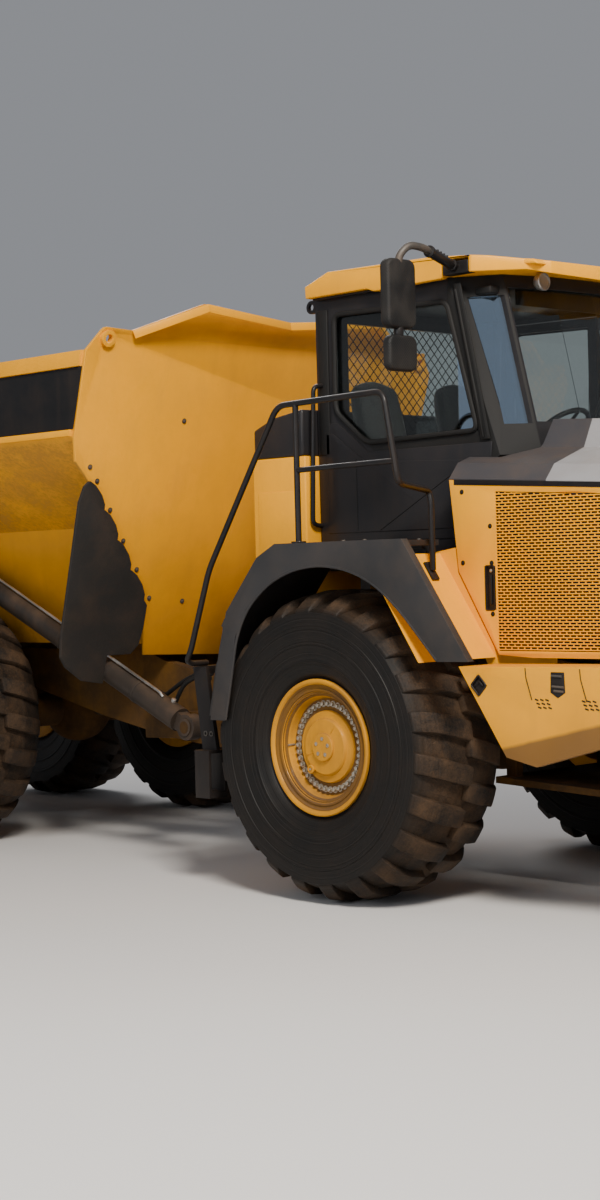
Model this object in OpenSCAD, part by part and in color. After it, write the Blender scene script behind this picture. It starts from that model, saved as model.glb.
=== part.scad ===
// Articulated dump truck with three axles, a centre cab and an open bin.
// +X is the front, -Y the right side and Z = 0 the ground. The origin is at mid length and mid width.

/* [Running gear] */
// Front axle to middle axle
wheel_base = 4438; // [4420:1:4460]
// Middle axle to rear axle
bogie_pitch = 1950; // [1930:1:1970]
// Front axle back to the hitch pivot
pivot_back = 1558; // [1545:1:1570]
// Front axle to the front of the bumper
front_overhang = 2907.5; // [2890:0.5:2930]
// Rear axle to the rear of the bin
rear_overhang = 1593.5; // [1570:0.5:1620]
// Middle of the left tyre to middle of the right tyre
track_w = 2690; // [2680:1:2700]
// Outer diameter of a tyre
tyre_od = 1850; // [1840:1:1860]
// Width of a tyre over its sidewalls
tyre_w = 750; // [740:1:756]
// Tread lugs on each side of a tyre
lug_n = 22; // [18:2:26]
// Height of a tread lug
lug_h = 45; // [30:1:50]
// Width of a tread lug
lug_w = 128; // [100:1:150]
// Diameter over a rim's flanges
rim_flange_d = 812; // [800:1:824]
// Diameter of a rim's barrel, where the tyre seats
rim_barrel_d = 636; // [626:1:646]
// Width of a rim over its flanges
rim_w = 650; // [640:1:656]
// Depth of the wheel disc behind the rim's outer edge
disc_set = 70; // [60:1:80]
// Diameter of the axle stub that carries a wheel
stub_d = 240; // [220:1:250]
// Diameter of an axle tube
axle_d = 260; // [240:1:270]
// Diameter of an axle's differential case
diff_d = 540; // [500:1:560]

/* [Front frame] */
// Thickness of a frame rail
rail_w = 90; // [80:1:96]
// Half distance between the inner faces of the front rails
front_rail_y = 410; // [400:1:420]
// Height of the front rails' top
front_rail_z = 1450; // [1430:1:1460]
// Half width of the frame's torque box at the hitch
box_y = 300; // [280:1:320]
// Diameter of the hitch's upright pins
hitch_pin_d = 120; // [110:1:130]
// Thickness of a hitch lug
lug_t = 80; // [70:1:90]
// Height of the lower lug's underside
lug_low_z = 620; // [610:1:635]
// Height of the upper lug's underside
lug_top_z = 1160; // [1150:1:1175]
// Side clearance of pieces that move past each other
clear = 6; // [5:0.5:8]
// Radial clearance of a pin in its bore
pin_gap = 0.5; // [0.3:0.1:0.8]
// Clearance of pieces that seat on each other
seat_gap = 0.3; // [0.2:0.1:0.5]

/* [Cab and hood] */
// Half width of the cab
cab_y = 880; // [870:1:885]
// Thickness of a cab wall
cab_wall = 45; // [40:1:50]
// Thickness of a glass pane
glass_t = 8; // [6:1:10]
// Height of the cab floor's underside
cab_floor_z = 2005; // [2001:1:2010]
// Height of the roof's highest point
roof_z = 3847; // [3840:1:3860]
// Half width of the roof
roof_y = 950; // [940:1:960]
// Half width of the hood at its side panels
hood_y = 1080; // [1070:1:1090]
// Thickness of the hood's shell
hood_t = 30; // [25:1:35]
// Distance between the slots in the hood's sides
slot_pitch = 35; // [30:1:40]
// Downward slope of the hood towards the front, in degrees
hood_slope = 3.5; // [3:0.1:4]
// Half width over the front mudguards
guard_y = 1743; // [1741:0.5:1748]
// Thickness of a mudguard sheet
guard_t = 34; // [30:1:38]
// Radius of the handrail tube
rail_r = 19; // [17:0.5:21]

/* [Rear frame and bin] */
// Half distance between the inner faces of the rear rails
rear_rail_y = 410; // [400:1:420]
// Height of the rear rails' top
rear_rail_z = 1420; // [1410:1:1430]
// Half width over the bin's sides
bin_y = 1685; // [1675:1:1695]
// Thickness of the bin's plates
bin_t = 25; // [20:1:30]
// Height of the bin's floor underside
bin_floor_z = 1480; // [1470:1:1490]
// Height of the bin's side rails at the front
bin_rail_z = 3467; // [3455:1:3480]
// Height of the bin's side rails at the rear
bin_tail_z = 3105; // [3090:1:3120]
// Rear axle back to the bin's hinge
bin_hinge_back = 449; // [440:1:460]
// Height of the bin's hinge
bin_hinge_z = 1350; // [1345:1:1355]
// Diameter of the bin's hinge pin
bin_pin_d = 90; // [80:1:100]
// Hitch pivot back to the bin's front wall, at its rail
bin_front_back = 529; // [520:1:540]

/* [Cylinders] */
// Distance of a hoist cylinder from the middle
hoist_y = 1030; // [1025:1:1035]
// Outer diameter of a hoist barrel
hoist_d = 170; // [160:1:172]
// Diameter of a hoist rod
hoist_rod_d = 100; // [90:1:105]
// Outer diameter of a steering barrel
steer_d = 110; // [100:1:114]
// Diameter of a steering rod
steer_rod_d = 60; // [54:1:64]
// Height of the steering cylinders
steer_z = 905; // [900:1:910]

/* [Mounts] */
// Bore of the front towing eyes
tow_eye_d = 60; // [56:1:64]
// Bore of the rear towing jaw
tow_jaw_d = 50; // [46:1:54]
// Bore of the bin's lifting eyes
lift_eye_d = 60; // [56:1:64]

/* [Hidden] */
$fn = 48;

yellow = [0.93, 0.66, 0.10];
dark = [0.17, 0.17, 0.18];
black = [0.08, 0.08, 0.09];
grey = [0.45, 0.46, 0.48];
rubber = [0.12, 0.12, 0.12];
clear_glass = [0.55, 0.65, 0.70, 0.4];

// Places along the truck
overall_l = front_overhang + wheel_base + bogie_pitch + rear_overhang;
front_x = overall_l / 2;
fa = front_x - front_overhang;
ma = fa - wheel_base;
ra = ma - bogie_pitch;
pv = fa - pivot_back;
axle_z = tyre_od / 2;
side_y = track_w / 2;
tyre_in_y = side_y - tyre_w / 2;
hinge_x = ra - bin_hinge_back;
bin_top_x = pv - bin_front_back;
bin_rear_x = -front_x;

// Cylinder pins, as X and Z for the hoists and as X and Y for the steering
hoist_low = [pv - 318, 932];
hoist_top = [pv - 3229, 2207];
steer_front = [pv + 1150, 600];
steer_back = [pv - 120, 430];

module block(x, y, z)
  translate([x[0], y[0], z[0]]) cube([x[1] - x[0], y[1] - y[0], z[1] - z[0]]);

// Outline in X and Z, from y0 to y1
module side_plate(points, y0, y1)
  translate([0, y1, 0]) rotate([90, 0, 0]) linear_extrude(y1 - y0) polygon(points);

// Outline in Y and Z, from x0 to x1
module cross_plate(points, x0, x1)
  translate([x0, 0, 0]) rotate([90, 0, 90]) linear_extrude(x1 - x0) polygon(points);

// Outline in X and Y, from z0 to z1
module flat_plate(points, z0, z1)
  translate([0, 0, z0]) linear_extrude(z1 - z0) polygon(points);

module both() {
  children();
  mirror([0, 1, 0]) children();
}

module pin_x(x0, x1, y, z, r) translate([x0, y, z]) rotate([0, 90, 0]) cylinder(h = x1 - x0, r = r);
module pin_y(x, z, y0, y1, r) translate([x, y1, z]) rotate([90, 0, 0]) cylinder(h = y1 - y0, r = r);
module pin_z(x, y, z0, z1, r) translate([x, y, z0]) cylinder(h = z1 - z0, r = r);

// Round bar from point a to point b
module bar(a, b, r) {
  d = b - a;
  length = norm(d);
  translate(a) rotate([0, acos(d[2] / length), atan2(d[1], d[0])]) cylinder(h = length, r = r);
}

// Eight-sided tube through a list of points, with a ball at each corner
module tube_path(points, r) {
  for (i = [0 : len(points) - 2]) bar(points[i], points[i + 1], r, $fn = 8);
  for (i = [1 : len(points) - 2]) translate(points[i]) sphere(r = r + 1.5, $fn = 8);
}

// Points of a half outline, closed across the middle
function whole(half) = concat(half, [for (i = [len(half) - 1 : -1 : 0]) [-half[i][0], half[i][1]]]);

// Front frame

bumper_back_x = front_x - 300;
front_rail = [
  [fa - 600, lug_low_z], [fa - 270, lug_low_z + 20], [fa - 200, 1180], [fa + 210, 1180],
  [fa + 300, 900], [fa + 1500, 900], [bumper_back_x - seat_gap, 970], [bumper_back_x - seat_gap, 1250],
  [fa + 2200, 1250], [fa + 380, front_rail_z],
  [fa - 600, front_rail_z]];

lug_reach = 130;
lug_root = 150;

module hitch_lug(z) {
  difference() {
    union() {
      flat_plate([[pv, -lug_reach], [pv + lug_root + 10, -205],
        [pv + lug_root + 10, 205], [pv, lug_reach]], z, z + lug_t);
      pin_z(pv, 0, z, z + lug_t, lug_reach);
    }
    pin_z(pv, 0, z - 1, z + lug_t + 1, hitch_pin_d / 2 + pin_gap);
  }
}

steer_ear_t = 30;
steer_eye_t = 80;
steer_pin_r = 30;

module steer_bracket() {
  low = steer_z - steer_eye_t / 2 - clear - steer_ear_t;
  high = steer_z + steer_eye_t / 2 + clear;
  for (z = [low, high])
    flat_plate([[steer_front[0] - 70, steer_front[1] - 50], [steer_front[0] + 60, front_rail_y + rail_w - 5],
      [steer_front[0] + 150, front_rail_y + rail_w - 5], [steer_front[0] + 150, steer_front[1] + 20],
      [steer_front[0] + 50, steer_front[1] + 60], [steer_front[0] - 50, steer_front[1] + 60]],
      z, z + steer_ear_t);
  block([steer_front[0] + 100, steer_front[0] + 150], [front_rail_y + rail_w - 5, steer_front[1] + 20],
    [low, high + steer_ear_t]);
  pin_z(steer_front[0], steer_front[1], low, high + steer_ear_t, steer_pin_r);
}

strut_y = 700;
link_y = 350;
tower_z = 1640;
deck_t = 40;
deck_low_z = cab_floor_z - seat_gap - deck_t;

module front_chassis() color(yellow) {
  both() side_plate(front_rail, front_rail_y, front_rail_y + rail_w);
  flat_plate([[pv + lug_root, -200], [pv + 260, -box_y], [fa - 490, -box_y], [fa - 490, box_y],
    [pv + 260, box_y], [pv + lug_root, 200]], lug_low_z, front_rail_z - 50);
  block([fa - 600, fa - 480], [-front_rail_y - 5, front_rail_y + 5], [lug_low_z + 30, front_rail_z - 60]);
  for (x = [fa - 150, fa + 1950])
    block([x, x + 120], [-front_rail_y - 5, front_rail_y + 5], [x < fa ? 1230 : 950, x < fa ? 1400 : 1150]);
  for (z = [lug_low_z, lug_top_z]) hitch_lug(z);
  both() {
    steer_bracket();
    block([fa - 110, fa + 110], [front_rail_y + rail_w - 5, strut_y + 90], [tower_z, tower_z + 60]);
    side_plate([[fa - 110, front_rail_z - 160], [fa + 110, front_rail_z - 160], [fa + 110, tower_z + 60],
      [fa - 110, tower_z + 60]], front_rail_y + rail_w - 30, front_rail_y + rail_w + 20);
    for (x = [pv + 880, fa + 320])
      block([x, x + 90], [front_rail_y + 10, front_rail_y + 70],
        [front_rail_z - 20, deck_low_z - seat_gap]);
  }
}

hub_out_y = side_y + rim_w / 2 - disc_set - 60;
hub_in_y = tyre_in_y - 60;

// One axle with its stubs, differential and hub flanges
module axle(x) {
  pin_y(x, axle_z, -hub_in_y, hub_in_y, axle_d / 2);
  translate([x, 0, axle_z]) sphere(r = diff_d / 2);
  both() {
    pin_y(x, axle_z, hub_in_y - 40, hub_in_y + 60, axle_d / 2 + 70);
    pin_y(x, axle_z, hub_in_y, hub_out_y, stub_d / 2);
  }
}

module front_axle() color(yellow) axle(fa);

module front_suspension() color(dark) both() {
  strut_low = axle_z + axle_d / 2 + seat_gap;
  pin_z(fa, strut_y, strut_low, tower_z - 330, 70);
  pin_z(fa, strut_y, tower_z - 340, tower_z - seat_gap, 50);
  bar([fa - axle_d / 2 - 30, link_y, axle_z], [fa - 460, link_y, axle_z - 110], 35);
  block([fa - axle_d / 2 - 40, fa - axle_d / 2 - seat_gap], [link_y - 40, link_y + 40], [axle_z - 60, axle_z + 60]);
  block([fa - 480 + seat_gap, fa - 445], [link_y - 40, link_y + 40], [axle_z - 170, axle_z - 60]);
}

module engine_block() color(grey) block([fa + 650, fa + 1850],
  [-front_rail_y + seat_gap, front_rail_y - seat_gap], [960, 1950]);

module radiator() color(dark) block([front_x - 620, front_x - 480], [-880, 880], [1250 + seat_gap, 2220]);

module belly_guard() color(yellow) {
  side_plate([[fa + 420, 640], [fa + 1300, 600], [fa + 1560, 830], [fa + 1560, 870], [fa + 1290, 640],
    [fa + 420, 680]], -560, 560);
  both() {
    block([fa + 440, fa + 520], [front_rail_y + 10, front_rail_y + 70], [660, 900 - seat_gap]);
    block([fa + 1470, fa + 1550], [front_rail_y + 10, front_rail_y + 70], [835, 900 - seat_gap]);
  }
}

bumper_y = 1430;
bumper_top_z = 1425;
bumper_side = [
  [fa + 905, bumper_top_z - 20], [fa + 1241, 908], [fa + 1452, 864], [fa + 1862, 975],
  [front_x - 200, 1170], [front_x, 1265], [front_x, bumper_top_z - 20], [front_x - 60, bumper_top_z]];
bumper_plan = [
  [fa + 860, -bumper_y], [front_x - 330, -bumper_y], [front_x, -1120],
  [front_x, 1120], [front_x - 330, bumper_y], [fa + 860, bumper_y]];

// Hood hinge, ahead of the hood's front and above the bumper
hood_pin = [front_x - 150, 1462];
hood_pin_r = 12;
hood_ear_y = 600;

lamp_y = [700, 1050];
lamp_z = [1290, 1390];
lamp_t = 25;

module bumper() color(yellow) {
  difference() {
    intersection() {
      side_plate(bumper_side, -bumper_y, bumper_y);
      flat_plate(bumper_plan, 800, bumper_top_z + 10);
    }
    block([fa + 800, bumper_back_x], [-bumper_y + 60, bumper_y - 60], [700, bumper_top_z - 50]);
    block([fa + 800, bumper_back_x], [-hood_y - 15, hood_y + 15], [700, bumper_top_z + 50]);
    both() {
      block([front_x - lamp_t - seat_gap, front_x + 10],
        [lamp_y[0] - seat_gap, lamp_y[1] + seat_gap], [lamp_z[0] - seat_gap, lamp_z[1] + seat_gap]);
      side_plate([[fa + 993, 1302], [fa + 1053, 1364], [fa + 1113, 1302], [fa + 1053, 1240]],
        bumper_y - 10, bumper_y + 5);
    }
  }
  both() {
    for (y = [hood_ear_y - 40, hood_ear_y + 25])
      block([hood_pin[0] - 20, hood_pin[0] + 20], [y, y + 15], [bumper_top_z - 10, hood_pin[1] + 20]);
    pin_y(hood_pin[0], hood_pin[1], hood_ear_y - 40, hood_ear_y + 40, hood_pin_r);
  }
}

tow_eye_x = front_x - 150;
tow_eye_z = 1050;
module towing_eyes() color(yellow) both() difference() {
  union() {
    block([bumper_back_x, tow_eye_x], [425, 485], [tow_eye_z - 70, tow_eye_z + 70]);
    pin_y(tow_eye_x, tow_eye_z, 425, 485, 70);
    block([bumper_back_x, bumper_back_x + 30], [400, 510], [tow_eye_z - 80, tow_eye_z + 85]);
  }
  pin_y(tow_eye_x, tow_eye_z, 415, 495, tow_eye_d / 2);
}

module headlamps() color(clear_glass) both() difference() {
  block([front_x - lamp_t, front_x], lamp_y, lamp_z);
  for (y = [790, 960]) pin_x(front_x - 8, front_x + 5, y, 1340, 38);
}

// Yellow skirt between each mudguard and the hood
module front_panels() color(yellow) both() {
  side_plate([[fa + 390, 2050], [fa + 390, 1930], [fa + 640, 1660], [fa + 770, 1510], [fa + 830, 1370],
    [fa + 880, 1370], [fa + 880, 1440], [fa + 868, 1500], [fa + 605, 1935], [fa + 588, 2080]],
    hood_y - 40, hood_y - 6);
  block([fa + 832, fa + 872], [front_rail_y + rail_w + seat_gap, hood_y - 6], [1372, 1450]);
  side_plate([[fa + 469, 2050], [fa + 880, 1440], [fa + 870, 1440], [fa + 459, 2050]], hood_y - 40,
    guard_y - 18 - seat_gap);
}

// Outer and inner outlines of a mudguard's lip
guard_top_z = tyre_od + 282;
guard_outer = [
  [fa - 860, 1065], [fa - 763, 1497], [fa - 690, 1729], [fa - 408, guard_top_z - 80], [fa - 248, guard_top_z],
  [fa + 778, guard_top_z], [fa + 1249, 1451]];
guard_inner = [
  [fa + 1025, 1448], [fa + 759, 1718], [fa + 609, 1842], [fa + 455, 1924], [fa + 297, 1972], [fa + 102, 1994],
  [fa - 117, 1969], [fa - 327, 1889], [fa - 509, 1747], [fa - 614, 1577], [fa - 669, 1333], [fa - 730, 1065]];
// Outline of the sheet over the tyre, which stands further back at its rear
guard_sheet = [
  [fa - 985, 1080], [fa - 910, 1400], [fa - 731, 1681], [fa - 408, guard_top_z - 80], [fa - 248, guard_top_z],
  [fa + 778, guard_top_z], [fa + 1249, 1451]];
guard_sheet_in = [
  [fa + 1205, 1451], [fa + 760, guard_top_z - guard_t], [fa - 241, guard_top_z - guard_t], [fa - 387, guard_top_z - 107],
  [fa - 700, 1664],
  [fa - 876, 1400], [fa - 950, 1080]];

module mudguards() color(dark) both() {
  side_plate(concat(guard_outer, guard_inner), guard_y - 18, guard_y);
  difference() {
    side_plate(concat(guard_sheet, guard_sheet_in), hood_y + 15, guard_y - 17);
    block([fa - 1100, fa - 745], [1640, guard_y], [1000, 1640]);
    block([fa + 480, fa + 1300], [hood_y, guard_y - 52], [1400, guard_top_z + 5]);
  }
  block([fa - 240, fa + 350], [hood_y - 75, hood_y + 20], [guard_top_z - guard_t - 15, guard_top_z - 10]);
  block([fa - 240, fa + 350], [hood_y - 75, hood_y - 15], [cab_floor_z, guard_top_z - guard_t]);
}

module cab_deck() color(dark) {
  block([pv + 350, fa + 520], [-cab_y - 120, cab_y + 120], [deck_low_z, deck_low_z + deck_t]);
  block([fa - 700, fa + 370], [-hood_y - 10, hood_y + 10], [deck_low_z, deck_low_z + deck_t]);
}

step_arm_z = 1335;
module access_steps() color(dark) both() {
  x = pv + 420;
  block([x + 14, x + 147], [1500, 1650], [560, 600]);
  for (y = [1500, 1630]) block([x + 14, x + 147], [y, y + 20], [560, 860]);
  side_plate([[x - 60, step_arm_z + 45], [x + 60, step_arm_z + 45], [x + 147, 850], [x + 14, 850]], 1550, 1580);
  block([x + 14, x + 147], [1500, 1650], [840, 860]);
  block([x - 40, x + 40], [box_y + seat_gap, 1560], [step_arm_z, step_arm_z + 50]);
}

module handrails() color(black) both() {
  foot = guard_top_z + seat_gap;
  tube_path([[fa - 1130, 1520, step_arm_z + 50 + rail_r + seat_gap], [fa - 1118, 1660, step_arm_z + 70],
    [fa - 1074, 1700, 1490], [fa - 884, 1700, 1988], [fa - 236, 1700, 2950], [fa + 632, 1700, 2967],
    [fa + 721, 1690, 2445], [fa + 540, 1240, 2415], [fa + 560, 1240, 2350], [fa + 560, 1240, 1952]], rail_r);
  bar([fa - 81, 1700, foot], [fa - 81, 1700, 2955], rail_r, $fn = 8);
  tube_path([[fa - 81, 1700, 2560], [fa + 300, 1700, 2566], [fa + 698, 1698, 2571]], rail_r);
  tube_path([[fa - 665, cab_y + 2, 3145], [fa - 665, cab_y + 90, 3135],
    [fa - 699, cab_y + 90, 2262], [fa - 699, cab_y + 2, 2252]], rail_r - 4);
}

// Cab: lower and upper outlines of its glazed part, in X and Y, and its lower body
glass_low_z = 2616;
glass_top_z = roof_z - 147;
cab_low_plan = [
  [fa - 720, -cab_y], [fa + 786, -cab_y], [fa + 960, -700], [fa + 1050, -350], [fa + 1070, 0],
  [fa + 1050, 350], [fa + 960, 700], [fa + 786, cab_y], [fa - 720, cab_y]];
cab_top_plan = [
  [fa - 720, -cab_y], [fa + 408, -cab_y], [fa + 690, -700], [fa + 790, -350], [fa + 815, 0],
  [fa + 790, 350], [fa + 690, 700], [fa + 408, cab_y], [fa - 720, cab_y]];

// Moves a plan outline inwards by t, or outwards if t is negative
function plan_in(plan, t) = [for (p = plan) [fa - 100 + (p[0] - fa + 100) * (1 - t / 820), p[1] * (1 - t / cab_y)]];

// Solid between the two outlines, moved inwards by t and down at the top by drop
module cab_prism(t, drop = 0) hull() {
  flat_plate(plan_in(cab_low_plan, t), glass_low_z - (drop > 0 ? 6 : 0), glass_low_z + 1);
  flat_plate(plan_in(cab_top_plan, t), glass_top_z - 1 - drop, glass_top_z - drop);
}

cab_body = [
  [fa - 715, cab_floor_z], [fa + 520, cab_floor_z], [fa + 615, 2475], [fa + 786, glass_low_z],
  [fa + 786, glass_low_z + 5], [fa - 720, glass_low_z + 5]];
cab_body_in = [
  [fa - 715 + cab_wall, cab_floor_z + 60], [fa + 470, cab_floor_z + 60], [fa + 560, 2490],
  [fa + 700, glass_low_z - 20], [fa + 700, glass_low_z + 50], [fa - 720 + cab_wall, glass_low_z + 50]];

// Outlines of the side window and of the door, in X and Z, and of the front panes, in Y and Z
side_window = [
  [fa - 552, 3583], [fa + 400, 3560], [fa + 622, 2773], [fa - 291, 2756], [fa - 556, 2969]];
door_back_x = fa - 600;
door_front_x = fa + 200;
door_low_z = guard_top_z + 13;
door_edge = [
  [door_back_x, door_low_z], [door_back_x, 3625], [door_front_x, 3610], [door_front_x, door_low_z]];

// One knuckle of the door's hinge, with its leaf towards dx
knuckle_y = cab_y + 14;
module knuckle(dx, z) {
  pin_z(door_back_x, knuckle_y, z, z + 60, 12);
  for (leaf = [[0, cab_y + 4], [10, cab_y - 3]])
    block([door_back_x + (dx < 0 ? dx : leaf[0]), door_back_x + (dx < 0 ? -leaf[0] : dx)],
      [leaf[1], knuckle_y], [z, z + 60]);
}
door_window = [
  [door_back_x + 75, 3560], [door_front_x - 75, 3545], [door_front_x - 75, 2770], [fa - 291, 2760],
  [door_back_x + 75, 2969]];
quarter_window = [[fa + 270, 3560], [fa + 400, 3555], [fa + 622, 2773], [fa + 270, 2768]];
screen = [[-688, 3620], [688, 3620], [688, 2810], [-688, 2810]];
corner_pane = [[712, 3575], [834, 3575], [834, 2800], [712, 2800]];
rear_window = [[-620, 3560], [620, 3560], [620, 2800], [-620, 2800]];

module cab_openings(d) {
  side_plate(shrink(side_window, d), -cab_y - 20, -cab_y + cab_wall + 30);
  side_plate(shrink(quarter_window, d), cab_y - cab_wall - 30, cab_y + 20);
  cross_plate(shrink(screen, d), fa + 550, fa + 1250);
  for (s = [-1, 1]) cross_plate(shrink([for (p = corner_pane) [s * p[0], p[1]]], d), fa + 470, fa + 1100);
  cross_plate(shrink(rear_window, d), fa - 800, fa - 640);
}

// Moves each point of an outline towards its middle by about d
function middle(points, i = 0) = i == len(points) ? [0, 0] : points[i] / len(points) + middle(points, i + 1);
function shrink(points, d) = [for (p = points) let (m = middle(points))
  p + [(m[0] > p[0] ? 1 : -1) * min(d, abs(m[0] - p[0])), (m[1] > p[1] ? 1 : -1) * min(d, abs(m[1] - p[1]))]];

module cab_shell() color(black) {
  difference() {
    union() {
      cab_prism(0);
      side_plate(cab_body, -cab_y, cab_y);
    }
    cab_prism(cab_wall, 44);
    side_plate(cab_body_in, -cab_y + cab_wall, cab_y - cab_wall);
    cab_openings(0);
    side_plate(door_edge, cab_y - cab_wall - 30, cab_y + 20);
  }
  for (z = [2400, 3300]) knuckle(-50, z);
  both() difference() {
    union() {
      pin_y(fa - 768, glass_top_z - 45, cab_y - 32, cab_y - 10, 42);
      block([fa - 768, fa - 715], [cab_y - 32, cab_y - 10], [glass_top_z - 87, glass_top_z - 3]);
    }
    pin_y(fa - 768, glass_top_z - 45, cab_y - 40, cab_y, 22);
  }
}

pane_set = 18;
module cab_glass() color(clear_glass) intersection() {
  difference() {
    cab_prism(pane_set);
    cab_prism(pane_set + glass_t);
  }
  cab_openings(0.4);
}

module cab_door() color(black) {
  difference() {
    side_plate(shrink(door_edge, clear), cab_y - cab_wall, cab_y);
    side_plate(door_window, cab_y - cab_wall - 10, cab_y + 10);
  }
  for (z = [2400, 3300]) knuckle(50, z + 60 + seat_gap);
}

module door_glass() color(clear_glass)
  side_plate(shrink(door_window, 0.4), cab_y - pane_set - glass_t, cab_y - pane_set);

roof_side = [
  [fa - 737, glass_top_z + seat_gap], [fa - 741, glass_top_z + 76], [fa - 535, roof_z], [fa + 330, roof_z - 20],
  [fa + 731, roof_z - 55], [fa + 1125, roof_z - 122], [fa + 1125, glass_top_z - 60], [fa + 900, glass_top_z + seat_gap]];
roof_plan = [
  [fa - 760, -roof_y], [fa + 660, -roof_y], [fa + 1010, -640], [fa + 1125, -250],
  [fa + 1125, 250], [fa + 1010, 640], [fa + 660, roof_y], [fa - 760, roof_y]];

// Its rim steps down ahead of the door's middle, and a notch takes the foot of each mirror's arm
arm_notch = [fa + 421, fa + 637];
module cab_roof() color(yellow) {
  difference() {
    intersection() {
      side_plate(roof_side, -roof_y, roof_y);
      flat_plate(roof_plan, glass_top_z - 100, roof_z + 10);
    }
    both() block(arm_notch, [cab_y - 15, roof_y + 10], [glass_top_z - 10, glass_top_z + 92]);
  }
  both() side_plate([[fa - 225, glass_top_z + 9], [fa - 140, glass_top_z - 22], [arm_notch[0], glass_top_z - 14],
    [arm_notch[0], glass_top_z + 20], [fa - 225, glass_top_z + 20]], cab_y + 15, roof_y);
}

module work_lamps() color(grey) for (y = [-560, 560])
  pin_x(fa + 830, fa + 895, y, glass_top_z - 55, 55);

module seat(x, y) {
  floor_z = cab_floor_z + 60 + seat_gap;
  block([x - 160, x + 160], [y - 150, y + 150], [floor_z, floor_z + 330]);
  block([x - 240, x + 250], [y - 240, y + 240], [floor_z + 325, floor_z + 450]);
  translate([x - 200, y, floor_z + 420]) rotate([0, -12, 0])
    block([-120, 0], [-230, 230], [0, 720]);
}

module seats() color(dark) {
  seat(fa - 60, 130);
  seat(fa - 190, -520);
}

column_low = [fa + 560, 130, 2640];
column_top = [fa + 440, 130, 2790];
column_lean = atan2(column_low[0] - column_top[0], column_top[2] - column_low[2]);
module console() color(dark) {
  side_plate([[fa + 440, cab_floor_z + 60 + seat_gap], [fa + 520, 2450], [fa + 600, 2560],
    [fa + 680, 2740], [fa + 480, 2740], [fa + 420, 2500], [fa + 350, cab_floor_z + 60 + seat_gap]],
    -560, 560);
  bar(column_low, column_top, 40);
}

module steering_wheel() color(black)
  translate(column_top) rotate([0, -column_lean, 0]) translate([0, 0, 14 + seat_gap]) {
    rotate_extrude() translate([205, 0]) circle(r = 17);
    for (a = [0, 120, 240]) rotate([0, 0, a]) translate([0, -16, -8]) cube([205, 32, 16]);
    translate([0, 0, -14]) cylinder(h = 34, r = 50);
  }

// Wire guard inside the right rear window corner
module window_guard() color(black) {
  for (i = [0 : 7])
    block([fa - 740, fa - 728], [-600 + i * 170, -590 + i * 170], [2780, 3600]);
  for (i = [0 : 4]) block([fa - 740, fa - 728], [-600, 600], [2780 + i * 200, 2792 + i * 200]);
  for (y = [-560, 550]) for (z = [2770, 3590])
    block([fa - 735, fa - 720 - seat_gap], [y, y + 20], [z, z + 20]);
}

// Mirror arms with a large head over a small one
module mirrors() color(black) both() {
  tube_path([[fa + 520, 920, glass_top_z + 32], [fa + 620, 1340, glass_top_z + 115],
    [fa + 615, 1440, glass_top_z + 115], [fa + 590, 1500, glass_top_z + 50], [fa + 575, 1500, glass_top_z - 580]], 24);
  block([arm_notch[0] + seat_gap, arm_notch[1] - seat_gap], [cab_y - 15 + seat_gap, roof_y - 6],
    [glass_top_z + seat_gap, glass_top_z + 84]);
  block([fa + 530, fa + 612], [1372, 1612], [glass_top_z - 365, glass_top_z + 36]);
  block([fa + 540, fa + 612], [1372, 1612], [glass_top_z - 609, glass_top_z - 399]);
}

box_back_x = pv + 340;
module service_box() color(yellow) {
  block([box_back_x, fa - 727], [-1000, 1000], [cab_floor_z, 2700]);
  both() block([box_back_x, fa - 730], [box_y + 210, 1000], [1524, deck_low_z - seat_gap]);
}

module air_cowl() color(black)
  side_plate([[box_back_x + 15, 2700 + seat_gap], [fa - 745, 2700 + seat_gap], [fa - 745, 3000],
    [box_back_x + 200, 2960], [box_back_x + 15, 2890]], -1000, 1000);

// Hood: a bevelled cross-section that slopes down towards the front
hood_back_x = fa + 590;
hood_front_x = front_x - 190;
hood_split_z = 2484;
hood_low_z = 1440;
hood_half = [[hood_y, -1000], [hood_y, 8], [hood_y - 80, 101], [725, 200], [640, 367], [0, 372]];
hood_half_in = [for (p = hood_half) [p[0] > hood_t ? p[0] - hood_t : 0, p[1] > 0 ? p[1] - hood_t : p[1] - 40]];

module hood_section(half, grow)
  translate([hood_back_x - 120, 0, hood_split_z]) rotate([0, hood_slope, 0]) translate([-grow, 0, 0])
    rotate([90, 0, 90]) linear_extrude(2700 + 2 * grow) polygon(whole(half));

// Side outline of the hood: the slanted rear edge leaves room for the mudguard's skirt
hood_side = [
  [hood_back_x - 30, hood_split_z + 400], [hood_back_x - 30, hood_split_z], [fa + 620, 1940],
  [fa + 920, hood_low_z], [hood_front_x, hood_low_z], [hood_front_x, 2100],
  [hood_front_x - 160, 2420], [hood_front_x - 500, 2800]];

module hood_body(half, t) intersection() {
  hood_section(half, 60);
  side_plate([for (p = hood_side) [p[0] == hood_front_x ? p[0] - t : p[0], p[1]]], -hood_y - 5, hood_y + 5);
}

module hood_hollow()
  intersection() {
    hood_section(hood_half_in, 90);
    side_plate([[hood_back_x - 100, hood_split_z + 420], [hood_back_x - 100, hood_low_z - 40],
      [hood_front_x - hood_t, hood_low_z - 40], [hood_front_x - hood_t, 2090],
      [hood_front_x - 160 - hood_t, 2400], [hood_front_x - 520, 2760]], -hood_y, hood_y);
  }

module hood_divide(up)
  translate([hood_back_x - 120, -hood_y - 50, hood_split_z]) rotate([0, hood_slope, 0])
    translate([-200, 0, up ? seat_gap : -2000]) cube([3400, 2 * hood_y + 100, 2000]);

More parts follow.
